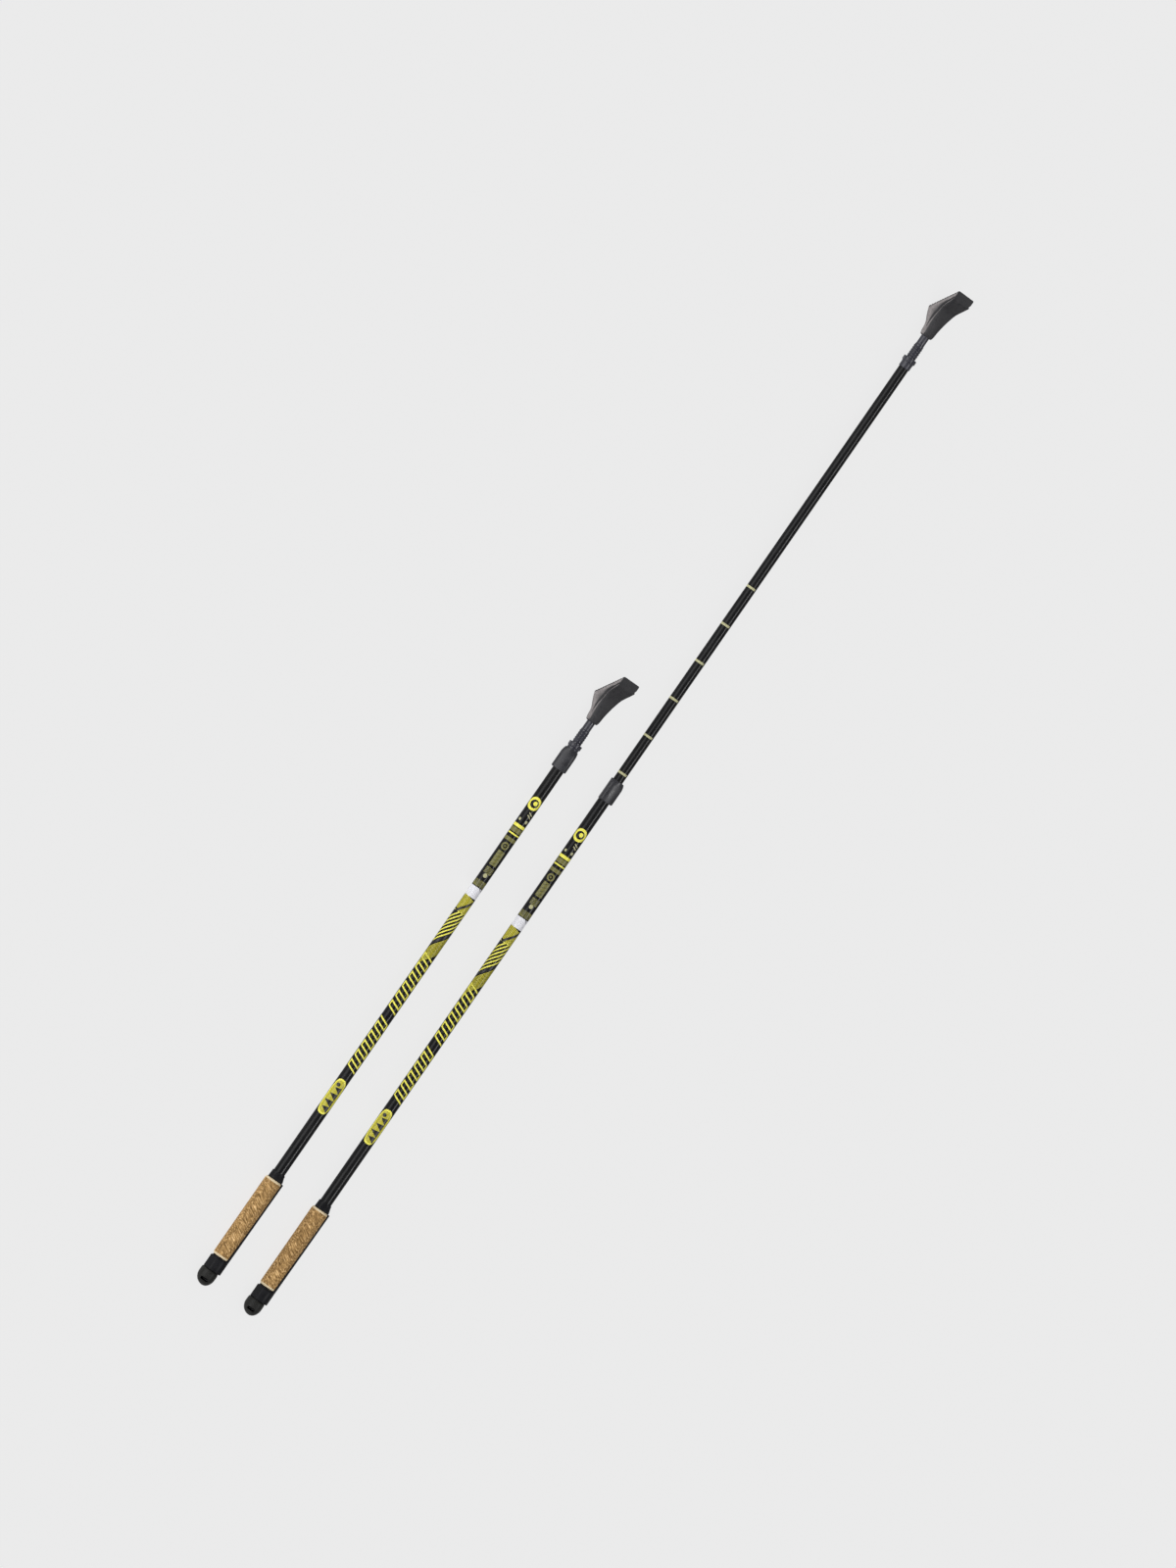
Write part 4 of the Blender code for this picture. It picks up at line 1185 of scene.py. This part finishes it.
white_nylon = tinted_nylon("white nylon", (0.66, 0.65, 0.60), (0.76, 0.75, 0.71), 0.45)
red_nylon = tinted_nylon("red nylon", (0.50, 0.045, 0.025), (0.66, 0.075, 0.045), 0.42)
brass = steel("turned brass", (0.60, 0.42, 0.16), (0.74, 0.55, 0.24), 0.28)
for side in SIDES:
    low, high, _ = ends_and_radius(f"{side}_lock_stud")
    stud = grown(
        rod_tree, Root=STUD_RADIUS - STUD_THREAD, Thread=STUD_THREAD, Pitch=STUD_PITCH,
        Length=high - low, Fade=STUD_PITCH, Facets=24, Rings=437, Metal=bright_steel,
    )
    stud = moved("stud", stud, side, (low + high) / 2)
    body = f"{side}_lower"
    fit(f"{side}_threaded_stud", stud, bright_steel, body, "steel", f"{side}_lock_stud")
    fit(f"{side}_stop_nut", nut(side), bright_steel, body, "steel", f"{side}_lock_nut")
    fit(f"{side}_nylon_plug", plug(side), white_nylon, body, "white_nylon", f"{side}_lock_plug")
    fit(f"{side}_cone_nut", cone(side), brass, f"{side}_cone", "brass", f"{side}_lock_cone")
    name, body = f"{side}_lock_expander", f"{side}_lock"
    fit(f"{side}_split_sleeve", expander(side), red_nylon, body, "red_nylon", name)


# Lower tubes. A lower tube is drawn aluminium like the upper one, 12 mm across, which slides in
# it. Six cream marks, 50 mm apart and printed most of the way round, show how far the pole is
# pulled out.

FERRULE_BACK = {side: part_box(f"{side}_tip_ferrule")[0].y for side in SIDES}
FIRST_MARK = -547.6  # mm from the ferrule's back edge
MARK_LENGTH = 2.6
MARK_PITCH = 50.0
lower_lacquer = black_lacquer("lower tube lacquer", (0.005, 0.005, 0.0055), (0.009, 0.009, 0.0095))
LOWER_RADIUS = ends_and_radius("right_lower_tube")[2]
for side in SIDES:
    node = f"{side}_lower_tube"
    body = f"{side}_lower"
    mesh = tube(side, "lower_shaft", node)
    fit(f"{side}_lower_shaft", mesh, lower_lacquer, body, "black_lacquer", node)
    marks = bars(cream_ink, FIRST_MARK, MARK_LENGTH, 6, MARK_PITCH, 9.0, -3.4, radius=LOWER_RADIUS)
    shift = (AXIS[side].x, FERRULE_BACK[side], AXIS[side].z)
    name = f"{side}_length_marks"
    fit(name, combined(name, [marks], shift), cream_ink, body, "black_lacquer")


# Tip ferrules. A ferrule is a tough black moulding, glued on the lower tube: a sleeve, a cone up to
# a notched flange, a coarse thread for a basket, and a nose that tapers to the point. A carbide
# point with a crowned end is moulded into the nose.

FLANGE_NOTCHES = 8
CROWN_TEETH = 6


def ferrule(side):
    """Sleeve, cone, notched flange, the thread's core and the nose. Stations and radii in mm."""
    back = FERRULE_BACK[side]
    facets = 128

    def circle(station, radius):
        return ring(side, back + station * MM, radius * MM, facets)

    def notched(station, radius, depth):
        def at(angle):
            notch = max(0.0, math.cos(FLANGE_NOTCHES * angle)) ** 3
            return (radius - depth * notch) * MM
        return ring(side, back + station * MM, at, facets)

    socket = LOWER_RADIUS / MM + 0.3
    rings = [circle(11.3, socket), circle(0.2, socket), circle(0.0, socket + 0.15)]
    rings += [circle(0.0, 6.65), circle(0.25, 6.8), circle(5.5, 6.8), circle(7.6, 7.15)]
    rings += [
        notched(8.0, 7.6, 0.5), notched(8.35, 8.0, 0.9), notched(12.6, 8.0, 0.9),
        notched(13.0, 7.6, 0.5), circle(13.0, 5.3), circle(30.5, 5.3), circle(31.2, 4.9),
        circle(42.0, 4.9), circle(61.4, 4.06), circle(62.0, 3.7), circle(62.0, 2.3),
        circle(53.7, 2.3),
    ]
    return skin("ferrule", rings, sharp=28)


def carbide_point(side):
    """A shank, a head and a crown: a ring of blunt teeth round a dish."""
    low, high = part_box(f"{side}_carbide_tip")
    length = (high.y - low.y) / MM

    def circle(station, radius):
        return ring(side, low.y + station * MM, radius * MM)

    def toothed(back, radius, height):
        points = circle(length - back, radius)
        for index, point in enumerate(points):
            turn = 2 * math.pi * index / len(points)
            point.y += height * MM * (0.5 + 0.5 * math.cos(CROWN_TEETH * turn))
        return points

    rings = [
        circle(0.0, 1.85), circle(0.15, 2.0), circle(8.3, 2.0), circle(8.3, 3.05),
        circle(8.45, 3.2), circle(12.9, 3.2), circle(13.3, 3.0), toothed(0.9, 2.35, 0.7),
        toothed(0.7, 2.1, 0.7), toothed(0.9, 1.7, 0.5), circle(length - 1.2, 1.0),
        circle(length - 1.3, 0.3),
    ]
    return skin("carbide_point", rings, sharp=35)


ferrule_plastic = moulded_plastic(
    "ferrule plastic", (0.016, 0.016, 0.023), (0.028, 0.028, 0.037), 0.34, specular=0.32
)
carbide = steel("sintered carbide", (0.24, 0.24, 0.25), (0.34, 0.34, 0.35), 0.42)
BASKET_THREAD = (5.15 * MM, 0.65 * MM, 3.0 * MM, 17.0 * MM)  # root, height, pitch, length
for side in SIDES:
    body = f"{side}_lower"
    name = f"{side}_tip_ferrule"
    fit(f"{side}_ferrule_moulding", ferrule(side), ferrule_plastic, body, "lock_plastic", name)
    root, height, pitch, length = BASKET_THREAD
    thread = grown(
        rod_tree, Root=root, Thread=height, Pitch=pitch, Length=length, Fade=0.6 * pitch,
        Facets=72, Rings=86, Metal=ferrule_plastic,
    )
    thread = moved("thread", thread, side, FERRULE_BACK[side] + 13.2 * MM + length / 2)
    fit(f"{side}_basket_thread", thread, ferrule_plastic, body, "lock_plastic")
    point = carbide_point(side)
    fit(f"{side}_crowned_point", point, carbide, body, "carbide", f"{side}_carbide_tip")


# Paws. A paw is a boot of moulded rubber, pushed over the ferrule's nose and held by friction. Its
# sole slants to the ground and carries rows of ribs, and a loose steel washer inside it takes the
# point's load.

RIM_STATION = 42.0  # mm from the ferrule's back edge to the paw's rim
PAW_HALF_WIDTH = 12.4
HEEL, TOE = Vector((30.4, -13.0)), Vector((63.0, 20.4))  # mm from the rim: along the pole, up
TOE_FACE = 12.2
RIB_HEIGHT = 1.3
SOLE_OUT = Vector((TOE.y - HEEL.y, HEEL.x - TOE.x)).normalized()
SECTION_STEPS = 8
CREASE = ((4.2, 0.0), (2.9, 0.8), (1.6, 1.8), (0.5, 0.6))  # below the corner, in


def paw_section(top, bottom, top_half, bottom_half, corner, crease=0.0):
    """A rounded section between a point on the instep and one on the heel or sole, in mm. A crease
    runs along each side, below the instep's edge."""
    top, bottom = Vector(top), Vector(bottom)
    middle, up = (top + bottom) / 2, (top - bottom).normalized()
    half = (top - bottom).length / 2
    points = []

    def add(rise, across_from):
        width = bottom_half + (top_half - bottom_half) * (rise / half + 1) / 2
        place = middle + up * rise
        points.append(Vector((across_from(width), place.x, place.y)))

    def add_crease(x_side, order):
        room = half - corner
        for down, depth in CREASE[::order]:
            rise = room - min(down, room * down / 4.4)
            add(rise, lambda width: x_side * (width - depth * crease))

    add_crease(1, 1)
    for x_side, z_side, start in ((1, 1, 0), (-1, 1, 90), (-1, -1, 180), (1, -1, 270)):
        if start == 180:
            add_crease(-1, -1)
        for step in range(SECTION_STEPS + 1):
            angle = math.radians(start + 90 * step / SECTION_STEPS)
            add(
                z_side * (half - corner) + corner * math.sin(angle),
                lambda width: x_side * (width - corner) + corner * math.cos(angle),
            )
    return points


def sole(share):
    """A point on the sole between its ribs, from the heel (0) to the toe (1)."""
    return HEEL + (TOE - HEEL) * share - SOLE_OUT * RIB_HEIGHT


def smooth_run(sections, steps):
    """Sections along a smooth curve through the given ones."""
    padded = [sections[0]] + sections + [sections[-1]]
    run = []
    for a, b, c, d in zip(padded, padded[1:], padded[2:], padded[3:]):
        for step in range(steps):
            t = step / steps
            run.append([
                0.5 * (2 * q + (r - p) * t + (2 * p - 5 * q + 4 * r - s) * t**2
                       + (3 * q - p - 3 * r + s) * t**3)
                for p, q, r, s in zip(a, b, c, d)
            ])
    return run + [sections[-1]]


def paw_sections():
    """Toe to heel under the instep, then heel to rim round the ferrule's nose."""
    wide = PAW_HALF_WIDTH
    toe_top = (TOE.x - TOE_FACE, TOE.y)
    heel = paw_section((31.0, 8.6), sole(0.0), 9.8, wide, 2.2, 1.0)
    front = [
        paw_section(toe_top, sole(1.0), wide, wide, 1.6, 0.6),
        paw_section((46.2, 17.0), sole(0.72), 11.9, wide, 1.6, 1.0),
        paw_section((41.0, 12.7), sole(0.42), 11.2, wide, 1.7, 1.0),
        paw_section((36.5, 10.1), sole(0.18), 10.5, wide, 1.9, 1.0),
        heel,
    ]
    back = [
        heel,
        paw_section((24.0, 8.2), (21.8, -10.6), 9.0, 11.0, 4.4, 0.8),
        paw_section((13.0, 8.0), (13.0, -8.2), 8.2, 8.8, 6.6, 0.3),
        paw_section((4.5, 7.6), (4.5, -7.6), 7.6, 7.6, 6.4),
        paw_section((1.2, 6.9), (1.2, -6.9), 6.9, 6.9, 5.8),
    ]
    return smooth_run(front, 6)[:-1] + smooth_run(back, 6)


def rubber_paw(side):
    """The boot from its toe to its rim, then the pocket for the ferrule's nose and the washer."""
    start = FERRULE_BACK[side] + RIM_STATION * MM
    place = Vector((AXIS[side].x, start, AXIS[side].z))
    rings = [[place + point * MM for point in section] for section in paw_sections()]
    low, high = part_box(f"{side}_rubber_paw")
    for points in rings:
        for point in points:
            point.y = min(point.y, high.y)
            point.z = min(max(point.z, low.z), high.z)
    angles = [math.atan2(point.z - place.z, point.x - place.x) for point in rings[-1]]

    def round_ring(station, radius):
        return [
            place + Vector((radius * math.cos(turn), station, radius * math.sin(turn))) * MM
            for turn in angles
        ]

    washer_low, washer_high, washer_radius = ends_and_radius(f"{side}_paw_washer")
    seat, bottom = (washer_low - start) / MM - 0.3, (washer_high - start) / MM + 0.3
    room = washer_radius / MM + 0.3
    rim = ((0.25, 6.6), (0.0, 6.3), (0.0, 5.6), (0.4, 5.25))
    pocket = ((seat, 5.25), (seat, room), (bottom, room))
    rings += [round_ring(station, radius) for station, radius in rim + pocket]
    return skin("paw", rings, sharp=42)


def sole_ribs_tree():
    """Rows of blocks on a plane, narrower at their crests, then the plane turned and placed."""
    tree, given, result = named_tree("sole ribs", (
        ("Rows", WHOLE), ("Run", FLOAT), ("Columns", WHOLE), ("Spread", FLOAT),
        ("Rib", "NodeSocketVector"), ("Crest", FLOAT), ("Turn", "NodeSocketRotation"),
        ("Place", "NodeSocketVector"), ("Rubber", FINISH),
    ))
    link = tree.links.new
    block = tree.nodes.new("GeometryNodeMeshCube")
    link(given["Rib"], block.inputs["Size"])
    normal = tree.nodes.new("GeometryNodeInputNormal")
    parts = tree.nodes.new("ShaderNodeSeparateXYZ")
    link(normal.outputs[0], parts.inputs[0])
    crest = tree.nodes.new("GeometryNodeScaleElements")
    link(block.outputs[0], crest.inputs["Geometry"])
    link(calculate(tree, "GREATER_THAN", parts.outputs["Z"], 0.9), crest.inputs["Selection"])
    link(given["Crest"], crest.inputs["Scale"])
    points = tree.nodes.new("GeometryNodeMeshGrid")
    for value, socket in (
        ("Spread", "Size X"), ("Run", "Size Y"), ("Columns", "Vertices X"), ("Rows", "Vertices Y"),
    ):
        link(given[value], points.inputs[socket])
    copies = tree.nodes.new("GeometryNodeInstanceOnPoints")
    link(points.outputs[0], copies.inputs["Points"])
    link(crest.outputs[0], copies.inputs["Instance"])
    place = tree.nodes.new("GeometryNodeTransform")
    link(copies.outputs[0], place.inputs["Geometry"])
    link(given["Turn"], place.inputs["Rotation"])
    link(given["Place"], place.inputs["Translation"])
    closed_and_finished(tree, (place.outputs[0],), result, given["Rubber"])
    return tree


def rubber_finish():
    """Moulded rubber: matt, a fine leathery grain, a mottled tone, and a painted light grey on the
    side walls.
    """
    material, nodes, links, shader, at = new_finish("paw rubber", 0.6, specular=0.2)
    rubber_mottle = cloud(nodes, links, at, 160, 4.0)
    dark = between(nodes, links, rubber_mottle, (0.020, 0.020, 0.022), (0.034, 0.033, 0.035))
    # Painted light: the side walls, picked out below by their normals, get a light grey that stands
    # in for the side light and the pale floor reflected in them.
    painted_side_light = between(nodes, links, rubber_mottle, (0.150, 0.137, 0.137), (0.225, 0.207, 0.205))
    outward = nodes.new("ShaderNodeTexCoord").outputs["Normal"]
    sideways = distance_from(nodes, links, outward, "X", 0.0)
    painted_side_light_mask = step_up(nodes, links, sideways, 0.88, 0.97)
    links.new(mixed(nodes, links, painted_side_light_mask, dark, painted_side_light), shader.inputs["Base Color"])
    links.new(rescaled(nodes, links, rubber_mottle, 0.52, 0.68), shader.inputs["Roughness"])
    relief(nodes, links, shader, cloud(nodes, links, at, 1800, 3.0), 0.00004)
    return material


rubber = rubber_finish()
ribs_tree = sole_ribs_tree()
RIB_ROWS = 12
RIB_EMBEDDED = 0.4  # mm of a rib in the sole
RIBS_MIDDLE = 0.487  # share of the way from heel to toe
for side in SIDES:
    body = f"{side}_paw"
    fit(f"{side}_boot", rubber_paw(side), rubber, body, "rubber", f"{side}_rubber_paw")
    sole_length = (TOE - HEEL).length
    tilt = math.atan2(-SOLE_OUT.x, SOLE_OUT.y)
    middle = HEEL + (TOE - HEEL) * RIBS_MIDDLE - SOLE_OUT * (RIB_HEIGHT + RIB_EMBEDDED) / 2
    ribs = grown(
        ribs_tree, Rows=RIB_ROWS, Run=(sole_length - 6.0) * MM, Columns=2, Spread=12.5 * MM,
        Rib=(11.9 * MM, 2.5 * MM, (RIB_HEIGHT + RIB_EMBEDDED) * MM), Crest=0.86,
        Turn=(tilt, 0.0, 0.0), Place=(0.0, (RIM_STATION + middle.x) * MM, middle.y * MM),
        Rubber=rubber,
    )
    ribs = moved("ribs", ribs, side, FERRULE_BACK[side])
    fit(f"{side}_sole_ribs", ribs, rubber, body, "rubber")
    low, high, radius = ends_and_radius(f"{side}_paw_washer")
    edge = 0.2 * MM
    disc = [(low, 0.3 * MM), (low, radius - edge), (low + edge, radius), (high - edge, radius)]
    disc += [(high, radius - edge), (high, 0.3 * MM)]
    washer = skin("washer", [ring(side, y, r) for y, r in disc])
    fit(f"{side}_steel_disc", washer, bright_steel, f"{side}_washer", "steel", f"{side}_paw_washer")


# Studio. The poles lie on a wide backlit sheet of pale acrylic. There is even light from all round,
# a strong soft light from the palm side and one from above. These two light the poles but not the
# sheet, so that it shows almost no shadow.

FLOOR_HALF = 40.0
FLOOR_GLOW = 0.788
mesh = bpy.data.meshes.new("floor")
corners = [(x * FLOOR_HALF, y * FLOOR_HALF, 0) for x, y in ((-1, -1), (1, -1), (1, 1), (-1, 1))]
mesh.from_pydata(corners, [], [(0, 1, 2, 3)])
floor = bpy.data.objects.new("floor", mesh)
bpy.context.scene.collection.objects.link(floor)
material, nodes, links, shader, at = new_finish("backlit acrylic", 0.9, specular=0.0)
haze = cloud(nodes, links, at, 300)
tone = between(nodes, links, haze, (0.118, 0.118, 0.118), (0.122, 0.122, 0.122))
links.new(tone, shader.inputs["Base Color"])
shader.inputs["Emission Color"].default_value = (1, 1, 1, 1)
shader.inputs["Emission Strength"].default_value = FLOOR_GLOW
mesh.materials.append(material)
floor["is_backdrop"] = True

all_but_floor = bpy.data.collections.new("all but the floor")
all_but_floor.objects.link(floor)
all_but_floor.collection_objects[0].light_linking.link_state = "EXCLUDE"


def soft_light(name, towards, strength, spread):
    """A distant light from a direction, spread over an angle in degrees. It spares the floor."""
    lamp = bpy.data.lights.new(name, "SUN")
    lamp.energy = strength
    lamp.angle = math.radians(spread)
    holder = bpy.data.objects.new(name, lamp)
    bpy.context.scene.collection.objects.link(holder)
    holder.rotation_mode = "QUATERNION"
    holder.rotation_quaternion = Vector(towards).to_track_quat("Z", "Y")
    holder.light_linking.receiver_collection = all_but_floor


soft_light("overhead light", (0.27, 0.0, 0.96), 1.3, 12)
soft_light("palm side light", (-0.98, -0.05, 0.16), 3.8, 60)
world = bpy.data.worlds.new("studio air")
world.use_nodes = True
world.node_tree.nodes["Background"].inputs["Color"].default_value = (0.98, 0.98, 1.0, 1)
world.node_tree.nodes["Background"].inputs["Strength"].default_value = 0.35
bpy.context.scene.world = world
bpy.context.scene.view_settings.view_transform = "Standard"

toward_camera = Vector((math.cos(FACING), 0, math.sin(FACING)))
across = Vector((0.671, 0.569, 0.474))
across = (across - toward_camera * across.dot(toward_camera)).normalized()
up = toward_camera.cross(across)
lens = bpy.data.cameras.new("camera")
lens.lens = 300
lens.sensor_width = 36
lens.clip_end = 100
VIEW_HEIGHT = 1.735  # metres of the scene from the frame's top to its bottom
AIM = (-0.0167, 0.0202)  # metres across and up from the right twist joint
camera = bpy.data.objects.new("camera", lens)
bpy.context.scene.collection.objects.link(camera)
target = AXIS["right"] + across * AIM[0] + up * AIM[1]
camera.location = target + toward_camera * VIEW_HEIGHT * lens.lens / lens.sensor_width
camera.rotation_mode = "QUATERNION"
camera.rotation_quaternion = Matrix((across, up, toward_camera)).transposed().to_quaternion()
bpy.context.scene.camera = camera

low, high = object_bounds()
